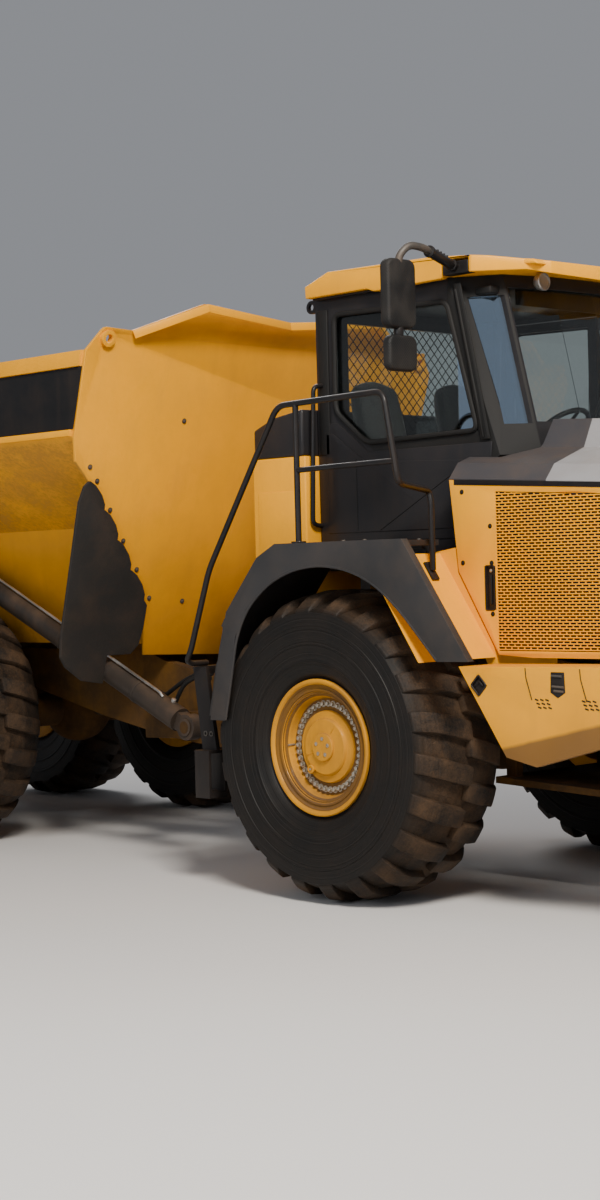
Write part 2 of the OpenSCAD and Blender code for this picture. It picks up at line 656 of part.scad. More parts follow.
// The hood's rear edge runs round the foot of the windscreen
module hood_top() color(dark) difference() {
  intersection() {
    hood_body(hood_half, 0);
    hood_divide(true);
  }
  hood_hollow();
  flat_plate(plan_in(cab_low_plan, -14), 2300, 3000);
}

// Rows of narrow slots in the hood's sides and front, and the recess of the side handle
slot_x = [fa + 910, fa + 2523];
slot_z = [hood_low_z + 37, 2383];
module slots() {
  for (z = [slot_z[0] : slot_pitch : slot_z[1]])
    side_plate([[slot_x[0], z], [min(slot_x[1], slot_x[0] + (slot_z[1] + 14 - z) / tan(hood_slope)), z],
      [min(slot_x[1], slot_x[0] + (slot_z[1] + 4 - z) / tan(hood_slope)), z + slot_pitch * 0.5],
      [slot_x[0], z + slot_pitch * 0.5]], hood_y - 8, hood_y + 5);
  block([slot_x[0] - 97, slot_x[0] - 12], [hood_y - 12, hood_y + 5], [1713, 1968]);
}

module hood_sides() color(yellow) {
  difference() {
    intersection() {
      hood_body(hood_half, 0);
      hood_divide(false);
    }
    hood_hollow();
    both() slots();
    for (z = [1530 : 36 : 2000]) block([hood_front_x - 8, hood_front_x + 5], [-780, 780], [z, z + 18]);
  }
  both() difference() {
    union() {
      block([hood_front_x - 10, hood_pin[0]], [hood_ear_y - 15, hood_ear_y + 15], [hood_pin[1] - 18, hood_pin[1] + 25]);
      pin_y(hood_pin[0], hood_pin[1], hood_ear_y - 15, hood_ear_y + 15, 25);
    }
    pin_y(hood_pin[0], hood_pin[1], hood_ear_y - 20, hood_ear_y + 20, hood_pin_r + pin_gap);
  }
}

// Hitch between the frames
tube_r = 180;
head_x = pv - 330;
module hitch_head() color(dark) {
  low = lug_low_z + lug_t + clear;
  high = lug_top_z - clear;
  pin_z(pv, 0, low, high, lug_reach - 10);
  block([pv - 270, pv], [-lug_reach + 20, lug_reach - 20], [low + 5, high - 5]);
  block([pv - 300, pv - 200], [-340, 340], [low, high]);
  for (z = [steer_z - steer_eye_t / 2 - clear - steer_ear_t, steer_z + steer_eye_t / 2 + clear])
    both() flat_plate([[pv - 290, 200], [pv - 60, 330], [steer_back[0] + 60, steer_back[1] - 10],
      [steer_back[0] + 50, steer_back[1] + 50], [steer_back[0] - 50, steer_back[1] + 60],
      [pv - 290, 380]], z, z + steer_ear_t);
  pin_x(head_x - 400, pv - 290, 0, steer_z + 30, tube_r);
  pin_z(pv, 0, lug_low_z, low + 10, hitch_pin_d / 2);
  pin_z(pv, 0, high - 10, lug_top_z + lug_t, hitch_pin_d / 2);
}

rear_rail = [
  [hinge_x - 130, rear_rail_z], [hinge_x - 130, 1180], [ma + 145, 1106], [pv - 1906, 921],
  [pv - 1170, 790], [pv - 660, 740], [head_x, 740], [head_x, 1180], [pv - 1200, 1345],
  [pv - 1400, rear_rail_z]];

hoist_bracket = [
  [hoist_low[0] + 85, hoist_low[1] - 60], [hoist_low[0] + 85, hoist_low[1] + 60],
  [hoist_low[0] - 40, hoist_low[1] + 95], [pv - 900, 1000], [pv - 900, 830],
  [hoist_low[0] - 40, hoist_low[1] - 90]];
hoist_pin_r = 42;
hoist_eye_w = 90;
bracket_y = hoist_y - hoist_eye_w / 2 - clear;

module rear_chassis() color(yellow) {
  difference() {
    union() {
      both() side_plate(rear_rail, rear_rail_y, rear_rail_y + rail_w);
      pin_x(head_x - 320, head_x, 0, steer_z + 30, tube_r + 80);
      block([head_x - 300, head_x - 60], [-rear_rail_y - 5, rear_rail_y + 5], [760, 1160]);
    }
    pin_x(head_x - 500, head_x + 10, 0, steer_z + 30, tube_r + pin_gap);
  }
  for (x = [pv - 1900, (ma + ra) / 2 - 60, hinge_x + 160])
    block([x, x + 120], [-rear_rail_y - 5, rear_rail_y + 5], [1200, 1380]);
  both() {
    side_plate(hoist_bracket, bracket_y - 90, bracket_y - 40);
    block([pv - 900, pv - 780], [rear_rail_y + rail_w - 5, bracket_y - 85], [840, 990]);
    pin_y(hoist_low[0], hoist_low[1], bracket_y - 45, bracket_y, 70);
    pin_y(hoist_low[0], hoist_low[1], bracket_y - 10, hoist_y + hoist_eye_w / 2 + 12, hoist_pin_r);
    pin_y((ma + ra) / 2, 1230, rear_rail_y + rail_w - 5, 830, 60);
    pin_y(hinge_x, bin_hinge_z, rear_rail_y + rail_w - 5, 600, bin_pin_d / 2);
    for (x = [pv - 1620, ra + 900])
      block([x, x + 160], [rear_rail_y + 10, rear_rail_y + rail_w - 10], [rear_rail_z - 5, bin_floor_z - seat_gap]);
  }
}

module rear_axles() color(yellow) for (x = [ma, ra]) axle(x);

beam_y = 690;
module walking_beams() color(dark) both() difference() {
  mid = (ma + ra) / 2;
  base = axle_z + axle_d / 2 + seat_gap;
  side_plate([[ra - 150, base], [ma + 150, base], [ma + 150, base + 90], [mid + 250, 1330], [mid - 250, 1330],
    [ra - 150, base + 90]], beam_y, beam_y + 110);
  pin_y(mid, 1230, beam_y - 5, beam_y + 120, 60 + pin_gap);
}

module drive_shafts() color(dark) {
  pin_x(ra + diff_d / 2 + seat_gap, ma - diff_d / 2 - seat_gap, 0, axle_z, 55);
  pin_x(ma + diff_d / 2 + seat_gap, head_x - 400 - seat_gap, 0, axle_z, 55);
}

module towing_jaw() color(yellow) {
  x = hinge_x - 40;
  difference() {
    union() {
      block([x - 90, x], [-rear_rail_y + seat_gap, rear_rail_y - seat_gap], [1180, 1390]);
      for (z = [1210, 1330]) {
        block([x - 260, x - 80], [-80, 80], [z, z + 40]);
        pin_z(x - 260, 0, z, z + 40, 80);
      }
    }
    pin_z(x - 260, 0, 1200, 1380, tow_jaw_d / 2);
  }
}

// Bin: half cross-sections and side outlines of its outside and its inside
bin_half = [[0, bin_floor_z], [780, bin_floor_z], [925, 2320], [bin_y, 2905], [bin_y, 3600],
  [0, 3600]];
bin_half_in = [[0, bin_floor_z + bin_t], [780 - bin_t, bin_floor_z + bin_t], [925 - bin_t, 2320 + 12],
  [bin_y - bin_t, 2905 + 12], [bin_y - bin_t, 3610], [0, 3610]];

function wall_x(z) = bin_top_x - 0.283 * (bin_rail_z - z);
bin_kick_x = ra + 650;
bin_tail_low = 2250;
bin_side = [
  [wall_x(bin_floor_z), bin_floor_z], [wall_x(bin_rail_z), bin_rail_z], [pv - 2400, bin_rail_z],
  [bin_rear_x + 700, bin_tail_z], [bin_rear_x + 330, bin_tail_z], [bin_rear_x, bin_tail_low + 130],
  [bin_rear_x, bin_tail_low], [bin_kick_x, bin_floor_z]];
bin_side_in = [
  [wall_x(bin_floor_z) + 100, bin_floor_z + bin_t], [wall_x(3600) + 100, 3600], [bin_rear_x - 50, 3600],
  [bin_rear_x - 50, bin_tail_low + bin_t + 17], [bin_kick_x - 5, bin_floor_z + bin_t]];

// Underside of the bin's rising floor at x
function floor_low(x) = bin_floor_z + (bin_tail_low - bin_floor_z) * (bin_kick_x - x) / (bin_kick_x - bin_rear_x);
bin_lug_y = rear_rail_y + rail_w + clear;

// Rail along the bin's top edge and the one below the bare side band
rail_low_z = 2908;
bin_rails = [
  [[wall_x(3365) - 12, 3365], [wall_x(bin_rail_z) - 12, bin_rail_z], [pv - 2400, bin_rail_z], [pv - 2400, 3365]],
  [[pv - 2400, 3365], [pv - 2400, bin_rail_z], [bin_rear_x + 730, bin_tail_z + 3], [bin_rear_x + 730, bin_tail_z - 99]],
  [[wall_x(rail_low_z) - 12, rail_low_z], [wall_x(rail_low_z + 42) - 12, rail_low_z + 42],
    [bin_rear_x + 730, rail_low_z + 42], [bin_rear_x + 730, rail_low_z]]];

module bin_shell() color(yellow) {
  both() for (rail = bin_rails) side_plate(rail, bin_y - 10, bin_y + 18);
  difference() {
    intersection() {
      cross_plate(whole(bin_half), bin_rear_x - 10, bin_top_x + 50);
      side_plate(bin_side, -bin_y - 5, bin_y + 5);
    }
    intersection() {
      cross_plate(whole(bin_half_in), bin_rear_x - 60, bin_top_x + 200);
      side_plate(bin_side_in, -bin_y, bin_y);
    }
  }
  both() {
    difference() {
      union() {
        side_plate([[hinge_x - 60, bin_hinge_z], [hinge_x + 60, bin_hinge_z],
          [hinge_x + 400, floor_low(hinge_x + 400) + 12], [hinge_x - 150, floor_low(hinge_x - 150) + 12]],
          bin_lug_y, bin_lug_y + 50);
        pin_y(hinge_x, bin_hinge_z, bin_lug_y, bin_lug_y + 50, bin_pin_d / 2 + 40);
      }
      pin_y(hinge_x, bin_hinge_z, bin_lug_y - 10, bin_lug_y + 60, bin_pin_d / 2 + pin_gap);
    }
    block([hoist_top[0] - 90, hoist_top[0] + 90], [898, hoist_y - hoist_rod_d / 2 - 8],
      [hoist_top[1] - 90, hoist_top[1] + 90]);
  }
}

head_half = [[0, 1370], [780, 1400], [850, 1750], [1530, 2640], [1640, 2740], [bin_y - 6, 2901],
  [bin_y, bin_rail_z], [1562, 3618], [1330, 3609], [845, 3800], [0, 3738]];
head_t = 25;

// The front wall leans forward, and its spill guard folds over the top
module bin_headboard() color(yellow) {
  slope = [[wall_x(1300) + seat_gap, 1300], [wall_x(1300) + head_t, 1300], [wall_x(3580) + head_t, 3580],
    [wall_x(3580) + 235, 3800], [wall_x(3580) + 210, 3812], [wall_x(3605) + seat_gap, 3605]];
  difference() {
    intersection() {
      side_plate(slope, -bin_y, bin_y);
      cross_plate(whole(head_half), wall_x(1300) - 50, bin_top_x + 400);
    }
    both() lift_bore();
  }
}

// A flap's outer and lower edge, with a slot for the hoist, and its scalloped edge on the front wall
flap_outer = [[1513, 2612], [1550, 2578], [1576, 2468], [1563, 1574], [1543, 1419], [1486, 1347], [1323, 1244],
  [1135, 1215], [1135, 1412], [925, 1412], [863, 1475], [842, 1598], [839, 1757]];
flap_cusps = [[874, 1793], [1039, 2007], [1195, 2215], [1348, 2419], [1513, 2612]];
flap_scallops = [for (i = [0 : len(flap_cusps) - 2]) let (a = flap_cusps[i], d = flap_cusps[i + 1] - a)
  for (s = [[0, 0], [0.12, 0.09], [0.4, 0.14], [0.75, 0.11], [0.96, 0.03]]) a + s[0] * d + s[1] * [-d[1], d[0]]];

module guard_flaps() color(rubber) both() {
  slope = [[wall_x(1190) + head_t + seat_gap, 1190], [wall_x(1190) + head_t + 26, 1190],
    [wall_x(2720) + head_t + 26, 2720], [wall_x(2720) + head_t + seat_gap, 2720]];
  intersection() {
    side_plate(slope, 700, bin_y);
    cross_plate(concat(flap_outer, flap_scallops), wall_x(1190) - 50, bin_top_x + 100);
  }
}

// Bore of the left lifting eye, which also goes through the front wall
module lift_bore() translate([wall_x(3556), 1526, 3556]) rotate([0, 105.8, 0]) translate([0, 0, -120])
  cylinder(h = 300, r = lift_eye_d / 2);

// Each boss stops short of the spill guard, which folds forward above it
module lifting_eyes() color(yellow) both() difference() {
  translate([wall_x(3556), 1526, 3556]) rotate([0, 105.8, 0])
    translate([0, 0, (head_t + seat_gap) * cos(15.8)]) cylinder(h = 28, r = 56);
  lift_bore();
  side_plate([[wall_x(3580) - 40, 3578], [wall_x(3580) + head_t + seat_gap, 3578],
    [wall_x(3580) + 237, 3800], [wall_x(3580) - 40, 3800]], 1400, 1660);
}

// Hoist cylinders lie in a plane along the truck, so they turn about Y
hoist_dx = hoist_low[0] - hoist_top[0];
hoist_dz = hoist_top[1] - hoist_low[1];
hoist_l = norm([hoist_dx, hoist_dz]);
hoist_tilt = atan2(hoist_dz, hoist_dx);
hoist_end = hoist_l - 230;

// Places a piece drawn along +Z from the lower pin, at y
module on_hoist(y) translate([hoist_low[0], y, hoist_low[1]]) rotate([0, hoist_tilt - 90, 0]) children();

module hoist_barrel(y) color(dark) on_hoist(y) difference() {
  union() {
    translate([0, hoist_eye_w / 2, 0]) rotate([90, 0, 0]) cylinder(h = hoist_eye_w, r = 88);
    translate([-60, 1 - hoist_eye_w / 2, 20]) cube([120, hoist_eye_w - 2, 110]);
    translate([0, 0, 110]) cylinder(h = hoist_end - 110, r = hoist_d / 2);
    translate([0, 0, hoist_end - 90]) cylinder(h = 90, r = hoist_d / 2 + 8);
  }
  translate([0, hoist_eye_w / 2 + 1, 0]) rotate([90, 0, 0])
    cylinder(h = hoist_eye_w + 2, r = hoist_pin_r + pin_gap);
  translate([0, 0, 150]) cylinder(h = hoist_end, r = hoist_rod_d / 2 + pin_gap);
}

module hoist_rod(y) color(grey) on_hoist(y) difference() {
  union() {
    translate([0, 0, 170]) cylinder(h = hoist_l - 210, r = hoist_rod_d / 2);
    translate([0, hoist_eye_w / 2, hoist_l]) rotate([90, 0, 0]) cylinder(h = hoist_eye_w, r = 85);
  }
  translate([0, hoist_eye_w / 2 + 1, hoist_l]) rotate([90, 0, 0])
    cylinder(h = hoist_eye_w + 2, r = hoist_pin_r + 2);
}

// Steering cylinders lie flat and turn about Z
steer_dx = steer_front[0] - steer_back[0];
steer_dy = steer_front[1] - steer_back[1];
steer_l = norm([steer_dx, steer_dy]);
steer_turn = atan2(steer_dy, steer_dx);

// Places a piece drawn along -X from the front pin, on the left side
module on_steer() translate([steer_front[0], steer_front[1], steer_z]) rotate([0, 0, steer_turn]) children();

steer_end = steer_l - 420;
module steer_barrel() color(dark) on_steer() difference() {
  union() {
    translate([0, 0, -steer_eye_t / 2]) cylinder(h = steer_eye_t, r = 58);
    pin_x(-steer_end, -95, 0, 0, steer_d / 2);
    pin_x(-100, -40, 0, 0, steer_eye_t / 2 - 2);
  }
  translate([0, 0, -steer_eye_t / 2 - 1]) cylinder(h = steer_eye_t + 2, r = steer_pin_r + pin_gap);
  pin_x(-steer_end - 10, -80, 0, 0, steer_rod_d / 2 + pin_gap);
}

module steer_rod() color(grey) on_steer() difference() {
  union() {
    pin_x(-steer_l + 30, -400, 0, 0, steer_rod_d / 2);
    translate([-steer_l, 0, -steer_eye_t / 2]) cylinder(h = steer_eye_t, r = 52);
  }
  translate([-steer_l, 0, -steer_eye_t / 2 - 1]) cylinder(h = steer_eye_t + 2, r = steer_pin_r + 2);
}

// Wheels, drawn about the Y axis with their outer face towards +Y
tyre_r = tyre_od / 2;
tyre_half = tyre_w / 2;
bead_r = rim_barrel_d / 2 + seat_gap;
flange_in = rim_w / 2 - 30 - seat_gap;
flange_r = rim_flange_d / 2;

module tyre_profile() polygon(concat(
  [[bead_r, -flange_in], [bead_r, flange_in], [flange_r + 6, flange_in], [flange_r + 60, tyre_half - 38],
   [flange_r + 150, tyre_half - 12], [690, tyre_half], [tyre_r - 110, tyre_half - 14],
   [tyre_r - 57, tyre_half - 70], [tyre_r - 22, tyre_half - 120], [tyre_r, tyre_half - 230]],
  [[tyre_r, -tyre_half + 230], [tyre_r - 22, -tyre_half + 120], [tyre_r - 57, -tyre_half + 70],
   [tyre_r - 110, -tyre_half + 14], [690, -tyre_half], [flange_r + 150, -tyre_half + 12],
   [flange_r + 60, -tyre_half + 38], [flange_r + 6, -flange_in]]));

module wheel_place(x, s) translate([x, s * side_y, axle_z]) rotate([s > 0 ? -90 : 90, 0, 0]) children();

// Gap between two lugs, swept back towards the sidewall and drawn on the side of +Z
module tread_gap() multmatrix([[1, 0, 0, 0], [0, 1, 0.27, -20], [0, 0, 1, 0], [0, 0, 0, 1]])
  rotate([90, 0, 0]) linear_extrude(360 / lug_n * tyre_r * PI / 180 - lug_w, center = true) polygon([
    [tyre_r - lug_h, -12], [tyre_r - lug_h, tyre_half - 215], [tyre_r - lug_h - 32, tyre_half - 120],
    [tyre_r - lug_h - 55, tyre_half - 60], [tyre_r - lug_h - 90, tyre_half + 20], [tyre_r + 40, tyre_half + 20],
    [tyre_r + 40, -12]]);

module tyre(x, s) color(rubber) wheel_place(x, s) difference() {
  rotate_extrude() tyre_profile();
  for (k = [0 : lug_n - 1]) {
    rotate(90 + (k + 0.5) * 360 / lug_n) tread_gap();
    rotate(90 + k * 360 / lug_n) rotate([180, 0, 0]) tread_gap();
  }
}

// Close ring of hexagonal wheel bolts
bolt_n = 40;
bolt_ring_r = 256;

module rim(x, s) color(yellow) wheel_place(x, s) {
  half = rim_w / 2;
  disc_z = half - disc_set;
  rotate_extrude() polygon([
    [stub_d / 2 + pin_gap, disc_z - 230], [rim_barrel_d / 2 - 60, disc_z - 60],
    [rim_barrel_d / 2 - 20, disc_z - 60], [rim_barrel_d / 2 - 20, -half + 30], [rim_barrel_d / 2 - 20, -half],
    [flange_r, -half], [flange_r, -half + 30], [rim_barrel_d / 2, -half + 30], [rim_barrel_d / 2, half - 30],
    [flange_r, half - 30], [flange_r, half], [flange_r - 30, half], [flange_r - 60, half - 18],
    [rim_barrel_d / 2 - 8, half - 22], [rim_barrel_d / 2 - 20, half - 42],
    [rim_barrel_d / 2 - 30, disc_z - 33], [bolt_ring_r - 35, disc_z - 33], [bolt_ring_r - 40, disc_z - 8],
    [bolt_ring_r - 75, disc_z - 8], [bolt_ring_r - 82, disc_z + 13], [85, disc_z + 15],
    [80, disc_z + 30], [0, disc_z + 36], [0, disc_z - 50], [stub_d / 2 + pin_gap, disc_z - 50]]);
  for (k = [0 : bolt_n - 1]) rotate(k * 360 / bolt_n) translate([bolt_ring_r, 0, disc_z - 38])
    cylinder(h = 28, r = 13, $fn = 6);
}

module front_left_tyre() tyre(fa, 1);
module front_right_tyre() tyre(fa, -1);
module middle_left_tyre() tyre(ma, 1);
module middle_right_tyre() tyre(ma, -1);
module rear_left_tyre() tyre(ra, 1);
module rear_right_tyre() tyre(ra, -1);
module front_left_rim() rim(fa, 1);
module front_right_rim() rim(fa, -1);
module middle_left_rim() rim(ma, 1);
module middle_right_rim() rim(ma, -1);
module rear_left_rim() rim(ra, 1);
module rear_right_rim() rim(ra, -1);
module hoist_barrel_left() hoist_barrel(hoist_y);
module hoist_barrel_right() hoist_barrel(-hoist_y);
module hoist_rod_left() hoist_rod(hoist_y);
module hoist_rod_right() hoist_rod(-hoist_y);
module steer_barrel_left() steer_barrel();
module steer_barrel_right() mirror([0, 1, 0]) steer_barrel();
module steer_rod_left() steer_rod();
module steer_rod_right() mirror([0, 1, 0]) steer_rod();

front_chassis();
front_axle();
front_suspension();
engine_block();
radiator();
belly_guard();
bumper();
towing_eyes();
headlamps();
front_panels();
mudguards();
cab_deck();
access_steps();
handrails();
cab_shell();
cab_glass();
cab_roof();
work_lamps();
seats();
console();
steering_wheel();
window_guard();
mirrors();
service_box();
air_cowl();
cab_door();
door_glass();
hood_top();
hood_sides();
hitch_head();
rear_chassis();
rear_axles();
walking_beams();
drive_shafts();
towing_jaw();
bin_shell();
bin_headboard();
guard_flaps();
lifting_eyes();
hoist_barrel_left();
hoist_rod_left();
hoist_barrel_right();
hoist_rod_right();
steer_barrel_left();
steer_rod_left();
steer_barrel_right();
steer_rod_right();
front_left_tyre();
front_left_rim();
front_right_tyre();
front_right_rim();
middle_left_tyre();
middle_left_rim();
middle_right_tyre();
middle_right_rim();
rear_left_tyre();
rear_left_rim();
rear_right_tyre();
rear_right_rim();
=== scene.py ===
"""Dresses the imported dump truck: lugged tyres, dished rims, louvred hood, glazed cab and dusty paint."""
import math

import bmesh
import bpy
from bpy.props import FloatProperty, FloatVectorProperty, IntProperty, PointerProperty
from mathutils import Matrix, Vector


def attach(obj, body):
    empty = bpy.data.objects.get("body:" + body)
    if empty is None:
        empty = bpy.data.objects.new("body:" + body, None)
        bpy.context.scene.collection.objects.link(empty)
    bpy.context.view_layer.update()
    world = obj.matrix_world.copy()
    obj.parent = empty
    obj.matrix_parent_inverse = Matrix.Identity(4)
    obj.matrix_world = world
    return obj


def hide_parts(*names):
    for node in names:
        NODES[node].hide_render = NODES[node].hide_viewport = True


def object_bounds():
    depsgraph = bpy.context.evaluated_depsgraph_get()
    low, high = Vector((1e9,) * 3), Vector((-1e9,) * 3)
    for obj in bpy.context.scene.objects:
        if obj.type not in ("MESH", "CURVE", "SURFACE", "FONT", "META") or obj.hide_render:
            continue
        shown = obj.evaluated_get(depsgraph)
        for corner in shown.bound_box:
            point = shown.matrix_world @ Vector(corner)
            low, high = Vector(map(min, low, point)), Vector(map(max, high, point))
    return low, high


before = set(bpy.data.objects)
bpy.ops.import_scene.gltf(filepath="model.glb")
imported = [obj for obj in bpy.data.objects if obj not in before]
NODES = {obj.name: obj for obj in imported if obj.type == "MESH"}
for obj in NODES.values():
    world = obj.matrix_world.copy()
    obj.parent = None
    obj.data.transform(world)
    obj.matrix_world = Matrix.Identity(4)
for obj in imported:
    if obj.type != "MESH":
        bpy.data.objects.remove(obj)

bl_info = {
    "name": "Dump truck dressing",
    "version": (1, 0, 0),
    "blender": (4, 5, 0),
    "location": "View3D > Sidebar > Truck",
    "description": "Adds tyres, rims, hood, cab and fittings to the solids of an articulated dump truck",
    "category": "Object",
}

CAD_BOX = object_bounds()
FRONT_X = CAD_BOX[1][0]
AXLE_X = {"front": 2.537, "middle": -1.901, "rear": -3.851}
AXLE_Z = 0.925
SIDE_Y = 1.345
FA = AXLE_X["front"]
SIDES = (("left", 1), ("right", -1))


class TruckSizes(bpy.types.PropertyGroup):
    """Sizes that change the look of the dressing"""
    lug_width: FloatProperty(name="Lug width", description="Width of a tread lug at its tip",
                             default=0.122, min=0.08, max=0.16, unit="LENGTH")
    lug_count: IntProperty(name="Lugs a side", description="Tread lugs on each side of a tyre", default=22,
            min=12, max=36)
    slat_pitch: FloatProperty(name="Louvre pitch",
            description="Distance between the rows of slots in the hood's sides",
                              default=0.0175, min=0.015, max=0.06, unit="LENGTH")
    rail_radius: FloatProperty(name="Rail radius", description="Radius of the handrail tubes",
                               default=0.0185, min=0.01, max=0.03, unit="LENGTH")


class TruckColours(bpy.types.PropertyGroup):
    """Colours of the paint, plastic and dust, and of the painted highlight on the hood top"""
    yellow: FloatVectorProperty(name="Yellow paint", description="Colour of the bodywork", subtype="COLOR",
                                size=3, default=(0.90, 0.385, 0.0015), min=0, max=1)
    charcoal: FloatVectorProperty(name="Charcoal paint", description="Colour of the cab and hood top",
            subtype="COLOR",
                                  size=3, default=(0.016, 0.016, 0.018), min=0, max=1)
    # painted highlight: the lighter grey that stands for the sun's glare on the hood top's front
    front_highlight: FloatVectorProperty(name="Hood front highlight", description="Colour of the painted highlight on the hood top's front",
            subtype="COLOR",
                                size=3, default=(0.30, 0.30, 0.31), min=0, max=1)
    dust: FloatVectorProperty(name="Dust", description="Colour of the dust and mud", subtype="COLOR",
                              size=3, default=(0.24, 0.135, 0.065), min=0, max=1)


# Shader maths

class Wire:
    """A node's output in an expression: each operator adds its Math node"""

    def __init__(self, shade, socket):
        self.shade = shade
        self.socket = socket

    def math(self, operation, a, b=0.0):
        return self.shade.node("ShaderNodeMath", {"operation": operation}, {0: a, 1: b})

    def __add__(self, other): return self.math("ADD", self, other)
    def __radd__(self, other): return self.math("ADD", other, self)
    def __sub__(self, other): return self.math("SUBTRACT", self, other)
    def __rsub__(self, other): return self.math("SUBTRACT", other, self)
    def __mul__(self, other): return self.math("MULTIPLY", self, other)
    def __rmul__(self, other): return self.math("MULTIPLY", other, self)
    def __pow__(self, other): return self.math("POWER", self, other)
    def top(self, other): return self.math("MAXIMUM", self, other)
    def low(self, other): return self.math("MINIMUM", self, other)
    def size(self): return self.math("ABSOLUTE", self)

    def ramp(self, start, end, low=0.0, high=1.0):
        """Goes from low to high as the value goes from start to end"""
        return self.shade.node("ShaderNodeMapRange", {"clamp": True},
                {0: self, 1: start, 2: end, 3: low, 4: high})


class Shade:
    """One material and the nodes that are added to it"""

    def __init__(self, name, **fixed):
        self.material = bpy.data.materials.new(name)
        self.material.use_nodes = True
        self.tree = self.material.node_tree
        self.surface = self.tree.nodes["Principled BSDF"]
        for socket, value in fixed.items():
            self.surface.inputs[socket.replace("_", " ")].default_value = value

    def put(self, socket, value):
        if isinstance(value, Wire):
            self.tree.links.new(value.socket, socket)
        elif isinstance(value, (tuple, list)) and len(value) == 3 and socket.type == "RGBA":
            socket.default_value = (*value, 1.0)
        else:
            socket.default_value = value

    def node(self, kind, settings, values, output=0):
        made = self.tree.nodes.new(kind)
        for key, value in settings.items():
            setattr(made, key, value)
        for key, value in values.items():
            self.put(made.inputs[key], value)
        return Wire(self, made.outputs[output])

    def place(self, stretch=(1, 1, 1), turn=(0, 0, 0)):
        """Object coordinates in metres, stretched and turned"""
        raw = self.node("ShaderNodeTexCoord", {}, {}, "Object")
        if stretch == (1, 1, 1) and turn == (0, 0, 0):
            return raw
        return self.node("ShaderNodeMapping", {}, {"Vector": raw, "Rotation": turn, "Scale": stretch})

    def axis(self, letter):
        return self.node("ShaderNodeSeparateXYZ", {}, {0: self.place()}, letter)

    def noise(self, scale, detail=4.0, rough=0.55, stretch=(1, 1, 1), turn=(0, 0, 0), twist=0.0):
        return self.node("ShaderNodeTexNoise", {}, {"Vector": self.place(stretch, turn), "Scale": scale,
                         "Detail": detail, "Roughness": rough, "Distortion": twist}, "Fac")

    def facing(self):
        """How far the surface faces up"""
        return self.node("ShaderNodeSeparateXYZ", {}, {0: self.node("ShaderNodeNewGeometry", {}, {}, "Normal")},
                "Z")

    def mix(self, mask, a, b):
        return self.node("ShaderNodeMix", {"data_type": "RGBA"}, {0: mask, 6: a, 7: b}, 2)

    def bump(self, height, depth, strength=1.0):
        self.put(self.surface.inputs["Normal"],
                 self.node("ShaderNodeBump", {}, {"Strength": strength, "Distance": depth, "Height": height}))

    def finish(self, colour=None, rough=None, metal=None, coat=None):
        for name, value in (("Base Color", colour), ("Roughness", rough), ("Metallic", metal),
                ("Coat Weight", coat)):
            if value is not None:
                self.put(self.surface.inputs[name], value)
        return self.material


def painted(name, colour, dust, gloss=0.34, dirt=0.5, chips=0.5, coat=0.35, below=0.0, low_spray_and_shade=0.0, band=None):
    """Sprayed plate with clouds, dust, run marks and chips, and where asked: mud below, a darkening towards the
    bottom that is partly dirt spray and partly painted shade, and a second colour in a band (painted shade on
    the bumper, a painted highlight on the hood top)
    """
    s = Shade(name, Coat_Roughness=0.12, Coat_IOR=1.5, Specular_IOR_Level=0.18)
    cloud = s.noise(0.9, 3.0)
    grime = s.noise(3.5, 8.0, 0.65)
    runs = s.noise(2.2, 6.0, 0.6, stretch=(3.5, 3.5, 0.28))
    specks = s.noise(70.0, 3.0, 0.7)
    scrape = s.noise(9.0, 5.0, 0.6, stretch=(0.35, 1.0, 7.0))
    low = s.axis("Z").ramp(2.3, 0.5)
    up = s.facing().ramp(0.35, 0.95)
    film = (grime.ramp(0.42, 0.72) * 0.45 + runs.ramp(0.5, 0.75) * 0.4 + low * 0.35
            + up * grime.ramp(0.3, 0.6) * 0.7) * dirt
    if below:
        caked = grime.ramp(0.36, 0.62) * 0.6 + s.noise(34.0, 5.0, 0.7).ramp(0.42, 0.62) * 0.5
        film = film.top(s.facing().ramp(-0.4, -0.6) * s.axis("Z").ramp(2.905, 2.87) * caked * below)
    film = film.low(0.92)
    scraped = scrape.ramp(0.72, 0.75) * specks.ramp(0.5, 0.56)
    chip = (specks.ramp(0.735, 0.76) * grime.ramp(0.5, 0.62)).top(scraped) * chips
    # the band's second colour is painted shade on the bumper and a painted highlight on the hood top
    if band:
        colour = s.mix(band(s), colour[0], colour[1])
        shaded = s.mix(cloud.ramp(0.35, 0.7) * 0.3, colour, (0.02, 0.02, 0.02))
    else:
        shaded = s.mix(cloud.ramp(0.35, 0.7) * 0.35, colour, tuple(c * 0.66 for c in colour))
    dusty = s.mix(film, shaded, dust)
    # darker towards the bottom: partly dirt spray, partly painted shade where the underside of the truck lies
    # in shade
    if low_spray_and_shade:
        dusty = s.mix(s.axis("Z").ramp(2.45, 1.35) * (0.75 + grime * 0.5) * low_spray_and_shade, dusty, (0.022, 0.014, 0.009))
    final = s.mix(chip, dusty, (0.045, 0.035, 0.03))
    s.bump(s.noise(240.0, 2.0) * 0.35 + specks * chip * 0.6 + film * specks * 0.5, 0.0012)
    return s.finish(final, (gloss + film * 0.5 + cloud * 0.06).low(0.95), coat=(1.0 - film) * coat)


def moulded(name, colour, dust, rough=0.55, dirt=0.5, grain=420.0, depth=0.0011):
    """Grained plastic or rubber moulding with dust in its grain"""
    s = Shade(name, Specular_IOR_Level=0.35)
    pores = s.noise(grain, 3.0, 0.6)
    film = (s.noise(4.0, 7.0, 0.65).ramp(0.42, 0.75) * 0.5
            + s.facing().ramp(0.4, 0.95) * s.noise(2.0, 5.0).ramp(0.3, 0.6) * 0.8
            + s.axis("Z").ramp(2.2, 0.4) * 0.2) * dirt
    film = film.low(0.9)
    base = s.mix(s.noise(1.4, 3.0).ramp(0.35, 0.7), colour, tuple(c * 1.5 for c in colour))
    s.bump(pores * 0.7 + film * pores, depth)
    return s.finish(s.mix(film * (0.6 + pores * 0.4), base, dust), rough + film * 0.25 - pores * 0.08)


